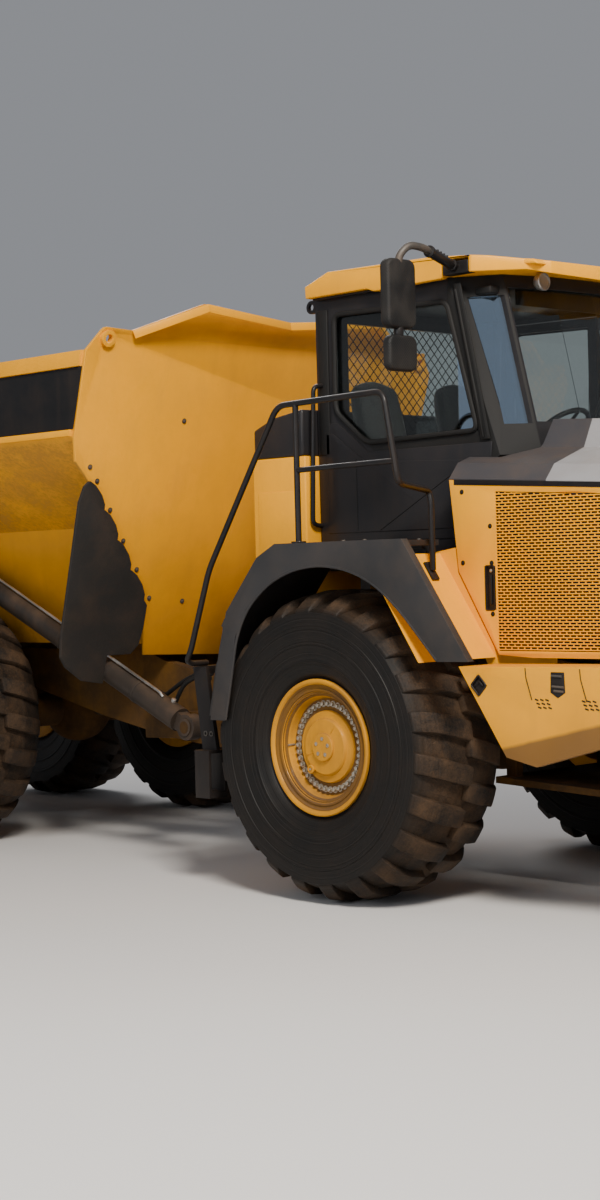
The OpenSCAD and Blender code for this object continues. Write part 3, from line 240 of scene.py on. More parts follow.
def tread_rubber(name, dust, axle_x):
    """Tyre rubber of one axle: fine rings on black sidewalls, brown dust on the tread, cuts and grit"""
    s = Shade(name, Specular_IOR_Level=0.2)
    along, up = s.axis("X") - axle_x, s.axis("Z") - AXLE_Z
    radius = (along * along + up * up) ** 0.5
    grit = s.noise(90.0, 5.0, 0.7)
    cuts = s.noise(26.0, 6.0, 0.6, twist=0.6)
    rings = s.node("ShaderNodeTexNoise", {"noise_dimensions": "1D"},
            {"W": radius * 130.0, "Scale": 1.0, "Detail": 2.0}, "Fac")
    tread = radius.ramp(0.795, 0.865)
    film = (s.noise(5.0, 7.0, 0.65).ramp(0.35, 0.68) * 0.65
            + grit.ramp(0.45, 0.7) * 0.3).low(0.85) * (tread * 0.52 + 0.05)
    base = s.mix(rings.ramp(0.35, 0.7), (0.004, 0.0038, 0.0036), (0.011, 0.0105, 0.010))
    s.bump(grit * 0.4 + cuts.ramp(0.44, 0.5) * tread * 0.5 + rings * (1.0 - tread) * 0.8 + film * 0.3, 0.0025)
    return s.finish(s.mix(film, base, dust), 0.5 + tread * 0.2 + film * 0.2)


def bare_metal(name, colour, rough, dust, dirt=0.3, metal=1.0):
    """Cast or turned metal with oily dust"""
    s = Shade(name)
    film = s.noise(6.0, 7.0, 0.65).ramp(0.45, 0.75) * dirt
    turned = s.noise(40.0, 3.0, 0.5, stretch=(1, 8, 8))
    s.bump(s.noise(160.0, 4.0) + turned * 0.4, 0.0008)
    return s.finish(s.mix(film, colour, dust), (rough + film * 0.5 + turned * 0.08).low(0.95),
            metal - film * 0.8 * metal)


def pane(name, tint, dust, painted_sky_reflection=None):
    """Clear glass with a thin dusty film; where a mask says so, a bluer, partly metallic tint that is a painted
    reflection of the sky
    """
    s = Shade(name, Transmission_Weight=1.0, IOR=1.45, Specular_IOR_Level=0.5)
    film = s.noise(3.0, 6.0, 0.6).ramp(0.5, 0.85) * 0.04 + s.noise(40.0, 3.0).ramp(0.62, 0.7) * 0.03
    s.bump(s.noise(1.1, 2.0), 0.0008, 0.3)
    mask = painted_sky_reflection(s) if painted_sky_reflection else 0.0
    if painted_sky_reflection:
        # blue tint: painted reflection of the sky
        tint = s.mix(mask, tint, (0.60, 0.76, 0.92))
    return s.finish(s.mix(film * 1.4, tint, dust), film * 0.5 + 0.01, mask * 0.5)


def sky_reflection_panes(s):
    """Mask of the narrow panes between the front posts and the windscreen, which get the painted sky reflection
    """
    return s.axis("X").ramp(2.99, 3.0) * s.axis("Y").size().ramp(0.70, 0.705)


def woven(name, colour):
    """Hard-wearing seat cloth with a fine twill"""
    s = Shade(name, Sheen_Weight=0.35, Sheen_Roughness=0.5)
    threads = s.node("ShaderNodeTexWave", {"wave_type": "BANDS", "bands_direction": "DIAGONAL"},
                     {"Vector": s.place(), "Scale": 160.0, "Distortion": 1.0, "Detail": 2.0}, "Fac")
    s.bump(threads, 0.0012)
    wear = s.noise(5.0, 5.0)
    return s.finish(s.mix(threads * 0.5 + wear * 0.4, colour, tuple(c * 2.2 for c in colour)),
            0.85 + wear * 0.1)


def painted_front_highlight(s):
    """Mask of the hood top's lighter front, a painted highlight of the sun's glare on its front facets"""
    return (s.axis("X") + s.noise(30.0, 2.0) * 0.002).ramp(3.820, 3.823)


def bumper_fold_shade(s):
    """Mask of the bumper's lower edge, painted dark brown as painted shade and dirt where the real edge turns
    inwards, a fold that the mesh does not have
    """
    edge = s.axis("X") * 0.2257 + 0.114
    return (s.axis("Z") - edge + s.noise(9.0, 4.0) * 0.012).ramp(0.012, -0.010) * s.axis("Y").size().ramp(1.20,
            1.22)


def diamond_plastic(name, colour):
    """Mirror shells with a raised diamond grain"""
    s = Shade(name, Specular_IOR_Level=0.3)
    one = s.node("ShaderNodeTexWave", {"wave_type": "BANDS", "bands_direction": "DIAGONAL"},
                 {"Vector": s.place(), "Scale": 34.0, "Distortion": 0.4}, "Fac")
    two = s.node("ShaderNodeTexWave", {"wave_type": "BANDS", "bands_direction": "DIAGONAL"},
                 {"Vector": s.place((1, -1, 1)), "Scale": 34.0, "Distortion": 0.4}, "Fac")
    film = s.noise(6.0, 5.0).ramp(0.4, 0.8)
    s.bump(one * two, 0.0012)
    return s.finish(s.mix(film * 0.10, colour, (0.20, 0.17, 0.14)), 0.6 + film * 0.2)


MATERIALS = {}


def stir_paints(colours):
    """Makes every finish once, from the colours in the panel"""
    yellow, charcoal, front_highlight, dust = (tuple(c)
            for c in (colours.yellow, colours.charcoal, colours.front_highlight, colours.dust))
    pale = tuple(c * 0.7 + 0.02 for c in dust)
    mud = tuple(c * 0.6 for c in dust)
    rust = tuple(y * 0.38 + d * 0.55 for y, d in zip(yellow, dust))
    MATERIALS.update(
        yellow=painted("Yellow paint", yellow, dust, dirt=0.22, chips=0.5, coat=0.06),
        # bin: dusty yellow, caked mud on faces that face down, and painted shade low down behind the flaps
        bin=painted("Bin paint with mud and low painted shade", tuple(c * 0.95 for c in yellow), rust, gloss=0.4, dirt=0.4, chips=0.8,
        coat=0.06, below=1.1, low_spray_and_shade=0.55),
        # rear frame: a darker copy of the yellow, with mud and a strong darkening towards the bottom that is
        # partly mud and partly painted shade under the truck
        rear=painted("Rear frame mud and painted shade", tuple(c * 0.6 for c in yellow), mud, gloss=0.6, dirt=0.8, chips=0.8,
        coat=0.0, low_spray_and_shade=0.85),
        hoist=painted("Hoist paint", (0.020, 0.019, 0.018), pale, gloss=0.4, dirt=0.3, chips=0.3, coat=0.1),
        frame=painted("Frame paint", tuple(c * 0.85 for c in yellow), mud, gloss=0.45, dirt=0.7, chips=0.8),
        # bumper: yellow, with painted shade and dirt in dark brown along its lower edge
        bumper=painted("Bumper paint and painted shade", (yellow, tuple(c * 0.5 for c in rust)), dust, dirt=0.22, chips=0.5,
        coat=0.06, band=bumper_fold_shade),
        rim=painted("Rim paint", tuple(c * 0.85 for c in yellow), mud, gloss=0.45, dirt=0.55, chips=0.6,
        coat=0.05, low_spray_and_shade=0.18),
        caked=painted("Caked rim paint", tuple(c * 0.30 for c in yellow), mud, gloss=0.6, dirt=1.0, chips=0.9,
        coat=0.05,
                      low_spray_and_shade=0.3),
        charcoal=painted("Charcoal paint", charcoal, pale, gloss=0.36, dirt=0.09, chips=0.2, coat=0.15),
        # hood top: a lighter charcoal, with a painted highlight in grey on its front part
        hood=painted("Hood top paint and painted highlight", (tuple(c * 3.0 for c in charcoal), front_highlight), pale, gloss=0.45, dirt=0.2,
        chips=0.2,
                     coat=0.15, band=painted_front_highlight),
        black=painted("Black steel", (0.009, 0.009, 0.010), pale, gloss=0.42, dirt=0.10, chips=0.3, coat=0.15),
        under=painted("Underbody paint", (0.016, 0.015, 0.014), mud, gloss=0.6, dirt=0.7, chips=0.3, coat=0.0),
        guard=moulded("Mudguard plastic", (0.018, 0.018, 0.019), pale, dirt=0.26),
        flap=moulded("Flap rubber", (0.011, 0.0105, 0.010), mud, rough=0.85, dirt=0.35, grain=55.0,
        depth=0.004),
        seal=moulded("Window seal rubber", (0.004, 0.004, 0.004), pale, rough=0.75, dirt=0.03),
        dark=moulded("Cab plastic", (0.018, 0.018, 0.019), pale, dirt=0.1),
        iron=bare_metal("Cast iron", (0.11, 0.10, 0.09), 0.55, mud, 0.6, 0.8),
        steel=bare_metal("Bright steel", (0.55, 0.54, 0.52), 0.32, dust, 0.35),
        chrome=bare_metal("Chromed rod", (0.50, 0.50, 0.52), 0.16, mud, 0.5),
        bolt=bare_metal("Zinc bolts", (0.50, 0.46, 0.38), 0.36, mud, 0.45),
        mirror=bare_metal("Mirror glass", (0.88, 0.89, 0.90), 0.04, dust, 0.08),
        glass=pane("Cab glass with painted sky reflection", (0.74, 0.80, 0.78), pale, sky_reflection_panes),
        lens=pane("Lamp lens", (0.95, 0.95, 0.93), pale),
        cloth=woven("Seat cloth", (0.012, 0.012, 0.013)),
        shell=diamond_plastic("Mirror shell", (0.006, 0.006, 0.0063)),
    )
    for axle, x in AXLE_X.items():
        MATERIALS["tyre_" + axle] = tread_rubber("Tyre rubber " + axle, mud, x)


# Modelling helpers

def only(obj):
    """Selects one object and makes it active"""
    if bpy.context.mode != "OBJECT":
        bpy.ops.object.mode_set(mode="OBJECT")
    bpy.ops.object.select_all(action="DESELECT")
    obj.select_set(True)
    bpy.context.view_layer.objects.active = obj


def edit(obj, test=None, kind="FACE"):
    """Opens an object in edit mode with the elements chosen that pass a test"""
    only(obj)
    bpy.ops.object.mode_set(mode="EDIT")
    bpy.ops.mesh.select_mode(type=kind)
    bpy.ops.mesh.select_all(action="SELECT" if test is None else "DESELECT")
    if test is not None:
        mesh = bmesh.from_edit_mesh(obj.data)
        mesh.normal_update()
        for item in {"FACE": mesh.faces, "EDGE": mesh.edges, "VERT": mesh.verts}[kind]:
            if test(item):
                item.select_set(True)
        mesh.select_flush_mode()
        bmesh.update_edit_mesh(obj.data)


def leave():
    bpy.ops.object.mode_set(mode="OBJECT")


def settle(obj):
    """Puts the object's place into its mesh"""
    only(obj)
    bpy.ops.object.transform_apply(location=True, rotation=True, scale=True)
    return obj


def outward(obj):
    edit(obj)
    bpy.ops.mesh.remove_doubles(threshold=0.00001)
    bpy.ops.mesh.delete_loose()
    bpy.ops.mesh.select_all(action="SELECT")
    bpy.ops.mesh.normals_make_consistent(inside=False)
    leave()
    return obj


def rounded(obj, width, segments=2, angle=35.0):
    """Rounds the sharp edges with an applied Bevel modifier"""
    only(obj)
    mod = obj.modifiers.new("Rounding", "BEVEL")
    mod.width = width
    mod.segments = segments
    mod.limit_method = "ANGLE"
    mod.angle_limit = math.radians(angle)
    bpy.ops.object.modifier_apply(modifier=mod.name)
    return obj


def block(low, high, bevel=0.0, segments=2):
    """Box between two corners"""
    low, high = Vector(low), Vector(high)
    bpy.ops.mesh.primitive_cube_add(size=1.0, location=(low + high) / 2)
    obj = bpy.context.object
    obj.scale = high - low
    settle(obj)
    return rounded(obj, bevel, segments) if bevel else obj


def rod(a, b, radius, sides=24, bevel=0.0):
    """Round bar from a to b"""
    a, b = Vector(a), Vector(b)
    run = b - a
    bpy.ops.mesh.primitive_cone_add(vertices=sides, radius1=radius, radius2=radius,
                                    depth=run.length, location=(a + b) / 2,
                                    rotation=run.to_track_quat("Z", "Y").to_euler())
    obj = settle(bpy.context.object)
    return rounded(obj, bevel) if bevel else obj


def plate(outline, low, high, across="Y", bevel=0.0, segments=2):
    """Flat outline drawn across one axis and extruded from low to high along it"""
    bpy.ops.mesh.primitive_circle_add(vertices=len(outline), radius=1.0, fill_type="NGON")
    obj = bpy.context.object
    order = {"X": lambda u, v: (low, u, v), "Y": lambda u, v: (u, low, v), "Z": lambda u,
            v: (u, v, low)}[across]
    for vert, point in zip(obj.data.vertices, outline):
        vert.co = order(*point)
    edit(obj)
    step = tuple(high - low if letter == across else 0.0 for letter in "XYZ")
    bpy.ops.mesh.extrude_region_move(TRANSFORM_OT_translate={"value": step})
    leave()
    outward(obj)
    return rounded(obj, bevel, segments) if bevel else obj


def filleted(points, radius, closed=False, steps=6):
    """Path with its corners rounded"""
    points = [Vector(p) for p in points]
    count = len(points)
    out = []
    for i, here in enumerate(points):
        if not closed and i in (0, count - 1):
            out.append(here)
            continue
        before, after = points[i - 1], points[(i + 1) % count]
        cut = min(radius, (before - here).length * 0.45, (after - here).length * 0.45)
        a = here + (before - here).normalized() * cut
        b = here + (after - here).normalized() * cut
        for k in range(steps + 1):
            t = k / steps
            out.append(a * (1 - t) ** 2 + here * 2 * t * (1 - t) + b * t * t)
    return out


def tube(points, radius, corner=0.06, closed=False, sides=3, steps=6):
    """Round tube along a path with bent corners"""
    line = bpy.data.curves.new("tube", "CURVE")
    line.dimensions = "3D"
    line.bevel_depth = radius
    line.bevel_resolution = sides
    line.use_fill_caps = not closed
    path = filleted(points, corner, closed, steps)
    spline = line.splines.new("POLY")
    spline.points.add(len(path) - 1)
    for point, place in zip(spline.points, path):
        point.co = (*place, 1.0)
    spline.use_cyclic_u = closed
    obj = bpy.data.objects.new("tube", line)
    bpy.context.collection.objects.link(obj)
    only(obj)
    bpy.ops.object.convert(target="MESH")
    return outward(bpy.context.object)


def spun(profile, steps=64):
    """Closed profile of radius and Y, spun about the Y axis"""
    bpy.ops.mesh.primitive_circle_add(vertices=len(profile), radius=1.0, fill_type="NOTHING")
    obj = bpy.context.object
    for vert, (r, y) in zip(obj.data.vertices, profile):
        vert.co = (r, y, 0.0)
    edit(obj, kind="VERT")
    bpy.ops.mesh.spin(steps=steps, angle=math.tau, center=(0, 0, 0), axis=(0, 1, 0))
    leave()
    return outward(obj)


def arrayed(obj, count, step):
    """Row of one part, made with an applied Array modifier"""
    only(obj)
    mod = obj.modifiers.new("Row", "ARRAY")
    mod.count = count
    mod.use_relative_offset = False
    mod.use_constant_offset = True
    mod.constant_offset_displace = step
    bpy.ops.object.modifier_apply(modifier=mod.name)
    return obj


def copied(obj, places, keep=False):
    """Copies of a part, each with its own mesh, at the given matrices; the part goes unless it is kept"""
    made = []
    for place in places:
        twin = obj.copy()
        twin.data = obj.data.copy()
        twin.data.transform(place)
        bpy.context.collection.objects.link(twin)
        made.append(twin)
    if not keep:
        bpy.data.objects.remove(obj)
    return made


def mirrored(obj):
    """The part and its mirror image on the other side of the truck"""
    twin = obj.copy()
    twin.data = obj.data.copy()
    twin.data.transform(Matrix.Scale(-1, 4, (0, 1, 0)))
    twin.data.flip_normals()
    bpy.context.collection.objects.link(twin)
    return [obj, twin]


def moved(obj, *matrices):
    for matrix in matrices:
        obj.data.transform(matrix)
    return obj


def finish_with(material, *parts):
    """Gives parts one finish and returns them as a list"""
    out = []
    for part in parts:
        for obj in part if isinstance(part, list) else [part]:
            obj.data.materials.clear()
            obj.data.materials.append(MATERIALS[material])
            out.append(obj)
    return out


def paired(material, *parts):
    """Gives parts one finish, mirrors each and returns them all as a list"""
    return finish_with(material, *(mirrored(part) for part in parts))


def joined(parts, name):
    only(parts[0])
    for part in parts:
        part.select_set(True)
    if len(parts) > 1:
        bpy.ops.object.join()
    obj = bpy.context.object
    obj.name = name
    obj.data.name = name
    return obj


def piece(name, body, parts, replaces=(), angle=32.0):
    """Joins parts into one piece that rides on a body"""
    obj = joined(parts, name)
    only(obj)
    bpy.ops.object.shade_smooth_by_angle(angle=math.radians(angle))
    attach(obj, body)
    if replaces:
        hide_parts(*replaces)
    return obj


def dressed(node, width=0.006, segments=2, angle=35.0, pockets=()):
    """Copy of a CAD node with merged faces, pockets cut into it and rounded edges"""
    source = NODES[node]
    obj = bpy.data.objects.new(node + "_copy", source.data.copy())
    bpy.context.collection.objects.link(obj)
    edit(obj)
    bpy.ops.mesh.remove_doubles(threshold=0.0002)
    leave()
    for pocket in pockets:
        only(obj)
        mod = obj.modifiers.new("Pocket", "BOOLEAN")
        mod.object = pocket
        bpy.ops.object.modifier_apply(modifier=mod.name)
        bpy.data.objects.remove(pocket)
    edit(obj)
    bpy.ops.mesh.dissolve_limited(angle_limit=math.radians(1.0))
    leave()
    return rounded(obj, width, segments, angle)


def bolts(places, along, radius=0.014, height=0.012, sides=6):
    """Bolt heads at places, standing out along a direction"""
    along = Vector(along).normalized()
    turn = along.to_track_quat("Z", "Y").to_matrix().to_4x4()
    head = rod((0, 0, -0.004), (0, 0, height), radius, sides, bevel=radius * 0.18)
    washer = rod((0, 0, -0.004), (0, 0, height * 0.25), radius * 1.45, 16)
    one = joined([head, washer], "bolt")
    return copied(one, [Matrix.Translation(p) @ turn for p in places])


class TruckStep:
    """What every step of the dressing has in common"""
    bl_options = {"REGISTER", "UNDO"}

    def execute(self, context):
        self.build(context.scene.truck_sizes)
        return {"FINISHED"}


# Tyres and rims

TYRE_R = 0.925
# Each row of a lug: its Y, the radius of its tip and the radius of the carcass under it
LUG_ROWS = [(-0.012, 0.925, 0.880), (0.075, 0.9255, 0.880), (0.145, 0.925, 0.880), (0.200, 0.914, 0.866),
            (0.255, 0.902, 0.848), (0.285, 0.883, 0.836), (0.308, 0.865, 0.826), (0.336, 0.8405, 0.812),
            (0.361, 0.8145, 0.799)]


def lug_sweep(y):
    """How far a lug has swept round the tyre at a given Y"""
    return 0.27 * y - 0.020


def tread_lug(width):
    """One lug swept back at the shoulder, drawn at the top of the tyre on its +Y side"""
    bpy.ops.mesh.primitive_grid_add(x_subdivisions=4, y_subdivisions=len(LUG_ROWS) - 1, size=1.0)
    obj = bpy.context.object
    for index, vert in enumerate(obj.data.vertices):
        row, column = divmod(index, 5)
        y, tip, _ = LUG_ROWS[row]
        turn = (lug_sweep(y) + width * (column / 4 - 0.5) * (0.94 + 0.10 * row / 8)) / TYRE_R
        vert.co = (tip * math.sin(turn), y, tip * math.cos(turn))
    edit(obj)
    bpy.ops.mesh.extrude_region_move(TRANSFORM_OT_translate={"value": (0, 0, 0)})
    sunk = bmesh.from_edit_mesh(obj.data)
    for vert in sunk.verts:
        if vert.select:
            x, y, z = vert.co
            carcass = min(LUG_ROWS, key=lambda row: abs(row[0] - y))[2] - 0.010
            turn = (lug_sweep(y) + (math.atan2(x, z) * TYRE_R - lug_sweep(y)) * 1.14) / TYRE_R
            vert.co = (carcass * math.sin(turn), y, carcass * math.cos(turn))
    bmesh.update_edit_mesh(obj.data)
    leave()
    outward(obj)
    return rounded(obj, 0.007, 2, 40.0)


def tyre_at_origin(sizes):
    """Carcass with its sidewall rings, and two rows of staggered lugs"""
    half = [(0.3183, 0.10), (0.3183, 0.285), (0.330, 0.2945), (0.4115, 0.2945), (0.418, 0.300), (0.430, 0.318),
            (0.466, 0.337), (0.500, 0.346), (0.506, 0.352), (0.520, 0.353), (0.526, 0.350), (0.575, 0.361),
            (0.608, 0.366), (0.612, 0.3705), (0.624, 0.3715), (0.628, 0.368), (0.660, 0.3725), (0.700, 0.3720),
            (0.704, 0.3748), (0.716, 0.3748), (0.720, 0.3705), (0.765, 0.3665), (0.799, 0.3625), (0.812, 0.338),
            (0.826, 0.310), (0.848, 0.255), (0.866, 0.200), (0.880, 0.155), (0.880, 0.0)]
    carcass = spun(half + [(r, -y) for r, y in reversed(half[:-1])], 96)
    lug = tread_lug(sizes.lug_width)
    pitch = math.tau / sizes.lug_count
    places = []
    for k in range(sizes.lug_count):
        places.append(Matrix.Rotation(k * pitch, 4, "Y"))
        places.append(Matrix.Rotation((k + 0.5) * pitch, 4, "Y") @ Matrix.Rotation(math.pi, 4, "Z"))
    return joined([carcass, *copied(lug, places)], "tyre")


def wheel_places():
    """Name of each wheel and the matrix that puts it in place"""
    for axle, x in AXLE_X.items():
        for side, sign in SIDES:
            turn = Matrix.Identity(4) if sign > 0 else Matrix.Rotation(math.pi, 4, "Z")
            yield axle + "_" + side, Matrix.Translation((x, sign * SIDE_Y, AXLE_Z)) @ turn


class TRUCK_OT_tyres(TruckStep, bpy.types.Operator):
    """Adds the six lugged tyres"""
    bl_idname = "truck.tyres"
    bl_label = "Tyres"

    def build(self, sizes):
        tyre = tyre_at_origin(sizes)
        for name, place in wheel_places():
            twin = copied(tyre, [place], keep=True)
            piece("tyre_" + name, name + "_wheel",
                    finish_with("tyre_" + name.split("_")[0], twin), (name + "_tyre",))
        bpy.data.objects.remove(tyre)


def ringed(count, radius, y, start=0.0):
    """Places on a circle about the Y axis"""
    return [(radius * math.cos(a), y, radius * math.sin(a))
            for a in (math.tau * (k + start) / count for k in range(count))]


def spot_finish(obj, material, test):
    """Gives the faces whose centres pass a test another finish"""
    obj.data.materials.append(MATERIALS[material])
    for face in obj.data.polygons:
        if test(face.center):
            face.material_index = len(obj.data.materials) - 1


class TRUCK_OT_rims(TruckStep, bpy.types.Operator):
    """Adds the six dished rims with their bolt rings and hub covers"""
    bl_idname = "truck.rims"
    bl_label = "Rims"

    def build(self, sizes):
        barrel = spun([(0.298, -0.325), (0.395, -0.325), (0.404, -0.322), (0.406, -0.31), (0.404, -0.296),
                       (0.318, -0.2952), (0.3179, 0.2945), (0.400, 0.2955), (0.4055, 0.300), (0.4065, 0.310),
                       (0.4055, 0.320), (0.400, 0.325), (0.388, 0.3255), (0.380, 0.321), (0.374, 0.311),
                       (0.366, 0.3085), (0.360, 0.301), (0.348, 0.2985), (0.344, 0.304), (0.336, 0.3045),
                       (0.330, 0.298), (0.324, 0.287), (0.312, 0.283), (0.304, 0.272), (0.298, 0.256),
                       (0.294, 0.236), (0.288, 0.224), (0.222, 0.2215), (0.217, 0.226), (0.214, 0.240),
                       (0.209, 0.2465), (0.178, 0.248), (0.172, 0.252), (0.168, 0.262), (0.160, 0.2685),
                       (0.092, 0.2705), (0.0855, 0.273), (0.0845, 0.283), (0.080, 0.288), (0.062, 0.2895),
                       (0.0, 0.2905), (0.0, 0.205), (0.1203, 0.205), (0.1203, 0.03), (0.27, 0.19),
                       (0.298, 0.19)], 72)
        body = finish_with("rim", barrel)
        grooves = ((0.330, 0.372), (0.218, 0.286), (0.302, 0.322))
        spot_finish(barrel, "caked", lambda c: c.y > 0.21
                and any(a < math.hypot(c.x, c.z) < b for a, b in grooves))
        studs = bolts(ringed(40, 0.256, 0.2215), (0, 1, 0), 0.0135,
                0.0235) + bolts(ringed(5, 0.050, 0.2898, 0.3), (0, 1, 0), 0.0085, 0.007)
        plug = [spun([(0.0, 0.0), (0.026, 0.0), (0.026, 0.010), (0.021, 0.0125), (0.018, 0.0125),
                (0.016, 0.008), (0.0, 0.008)], 28),
                rod((0, 0.004, 0), (0, 0.015, 0), 0.008, 6, bevel=0.0015)]
        moved(plug[0], Matrix.Translation((0.112, 0.268, -0.136)))
        moved(plug[1], Matrix.Translation((0.112, 0.268, -0.136)))
        rib = block((0.088, 0.266, -0.004), (0.155, 0.2735, 0.004), 0.002)
        moved(rib, Matrix.Rotation(math.radians(20), 4, "Y"))
        nick = block((-0.150, 0.266, -0.003), (-0.100, 0.2725, 0.003), 0.002)
        moved(nick, Matrix.Rotation(math.radians(55), 4, "Y"))
        valve = rod((0.292, 0.228, 0), (0.298, 0.275, 0), 0.007, 12)
        rim = joined(body + finish_with("bolt", studs, plug[1], valve) + finish_with("rim", plug[0], rib, nick),
                "rim")
        for name, place in wheel_places():
            piece("rim_" + name, name + "_wheel", copied(rim, [place], keep=True),
                    (name + "_rim",))
        bpy.data.objects.remove(rim)


# Bodywork

HOOD_SIDE_Y = 1.080
HOOD_FRONT_X = 5.2545
HOOD_DROP = math.tan(math.radians(3.5))
POCKET = 0.0085


def split_z(x):
    """Height of the joint between hood top and hood sides"""
    return 2.484 - HOOD_DROP * (x - 3.007)


class TRUCK_OT_hood(TruckStep, bpy.types.Operator):
    """Adds the hood's rounded top and its sides with slotted panels, handles and bolts"""
    bl_idname = "truck.hood"
    bl_label = "Hood"

    def build(self, sizes):
        top = finish_with("hood", dressed("hood_top", 0.014, 3, 14.0))
        piece("hood_top_cover", "hood", top, ("hood_top",))
        x0, x1, low, high = 3.447, 5.06, 1.477, 2.395
        panel = [(x0, low), (x1, low), (x1, high - HOOD_DROP * (x1 - x0)), (x0, high)]
        pockets = [plate(panel, side * (HOOD_SIDE_Y - POCKET), side * (HOOD_SIDE_Y + 0.05)) for _,
                side in SIDES]
        pockets.append(block((HOOD_FRONT_X - POCKET, -0.79, 1.515), (HOOD_FRONT_X + 0.05, 0.79, 2.03)))
        parts = finish_with("yellow", dressed("hood_sides", 0.005, 2, 25.0, pockets))
        slotted = self.slotted(sizes.slat_pitch, x0, x1, low, high)
        parts += paired("yellow", slotted)
        # black sheet behind the slots: painted shade of the hollow behind the louvres; the other dark parts are
        # the black latch handle
        dark = [plate([(x + 0.0005 * (1 if x == x0 else -1), z) for x, z in panel],
                HOOD_SIDE_Y - POCKET - 0.002,
                      HOOD_SIDE_Y - POCKET + 0.0006)]
        # black strip under the top's edge: painted shadow in the gap between the hood top and its sides
        seam_shadow_strip = [(x, split_z(x) + rise) for x,
                rise in ((3.135, -0.029), (5.18, -0.029), (5.18, 0.001), (3.135, 0.001))]
        dark.append(plate(seam_shadow_strip, HOOD_SIDE_Y - 0.002, HOOD_SIDE_Y + 0.0025, bevel=0.001))
        dark.append(block((3.353, HOOD_SIDE_Y - 0.013, 1.716), (3.432, HOOD_SIDE_Y - 0.0112, 1.965)))
        dark.append(tube([(3.360, HOOD_SIDE_Y - 0.0005, z) for z in (1.713, 1.968)]
                         + [(3.425, HOOD_SIDE_Y - 0.0005, 1.968), (3.425, HOOD_SIDE_Y - 0.0005, 1.713)], 0.0045,
                         0.01, True))
        dark.append(block((3.383, HOOD_SIDE_Y - 0.012, 1.745), (3.402, HOOD_SIDE_Y - 0.001, 1.915), 0.004, 3))
        parts += paired("black", *dark)
        spots = [(3.194, 2.403), (3.403, 2.197), (3.190, 1.989), (3.409, 1.984), (3.409, 1.690), (5.10, 2.16),
                (5.10, 1.70)]
        heads = bolts([(x, HOOD_SIDE_Y, z) for x, z in spots], (0, 1, 0), 0.010, 0.006)
        screw = bolts([(3.392, HOOD_SIDE_Y - 0.011, 1.940)], (0, 1, 0), 0.007, 0.006)
        parts += paired("seal", *heads) + paired("steel", *screw)
        parts += self.front_grille()
        piece("hood_side_panels", "hood", parts, ("hood_sides",))

    def slotted(self, pitch, x0, x1, low, high):
        """Panel of short staggered slots, cut off under the hood's sloping edge"""
        back = HOOD_SIDE_Y - POCKET
        rows = int((high - low) / pitch)
        web = plate([(back, -0.0030), (back + POCKET - 0.001, -0.0032), (back + POCKET, -0.0020),
                     (back + POCKET, 0.0020), (back + POCKET - 0.001, 0.0032), (back, 0.0030)], x0, x1, "X")
        webs = arrayed(web, rows, (0, 0, pitch))
        moved(webs, Matrix.Translation((0, 0, low + pitch / 2)))
        bridge = 0.047
        grids = []
        for shift, count in ((0, (rows + 1) // 2), (1, rows // 2)):
            one = block((x0 + bridge * (0.5 + shift / 2) - 0.0035, back, low + pitch * (shift - 0.5) + 0.003),
                        (x0 + bridge * (0.5 + shift / 2) + 0.0035, back + POCKET - 0.002,
                        low + pitch * (shift + 0.5) - 0.003))
            grids.append(arrayed(arrayed(one, int((x1 - x0) / bridge) - shift, (bridge, 0, 0)), count,
                    (0, 0, 2 * pitch)))
        moved(grids[0], Matrix.Translation((0, 0, 2 * pitch)))
        slots = joined([webs, *grids], "slots")
        edit(slots)
        bpy.ops.mesh.bisect(plane_co=(x0, 0, high - 0.004), plane_no=(HOOD_DROP, 0, 1), clear_outer=True,
                use_fill=True)
        leave()
        return slots

    def front_grille(self):
        """Louvred opening in the hood's front face"""
        floor = HOOD_FRONT_X - POCKET
        # black sheet behind the slats: painted shade of the opening behind them
        back = block((floor - 0.002, -0.789, 1.516), (floor + 0.0006, 0.789, 2.029))
        slat = plate([(floor, 0.0), (floor + 0.015, -0.006), (floor + 0.017, -0.003), (floor + 0.017, 0.001),
                (floor, 0.012)],
                     -0.789, 0.789, "Y", bevel=0.001)
        slats = arrayed(slat, 14, (0, 0, 0.036))
        moved(slats, Matrix.Translation((0, 0, 1.530)))
        ring = tube([(HOOD_FRONT_X + 0.003, y, z) for y,
                z in ((-0.795, 1.51), (0.795, 1.51), (0.795, 2.035), (-0.795, 2.035))],
                    0.012, 0.05, True)
        return finish_with("black", back, slats) + finish_with("yellow", ring)


def wall_x(z):
    """X of the front face of the bin's sloping front wall"""
    return 0.475 - 0.283 * (3.467 - z)


WALL_OUT = (0.9622, 0, -0.2723)


def flange(start, end):
    """Upright lip hung along the edge from start to end"""
    run = end - start
    along = run.normalized()
    up = (Vector((0, 0, 1)) - along * along.z).normalized()
    lip = block((0.0, -0.005, -0.050), (run.length, 0.005, 0.006), 0.003)
    return moved(lip, Matrix.Translation(start) @ Matrix((along, up.cross(along), up)).transposed().to_4x4())


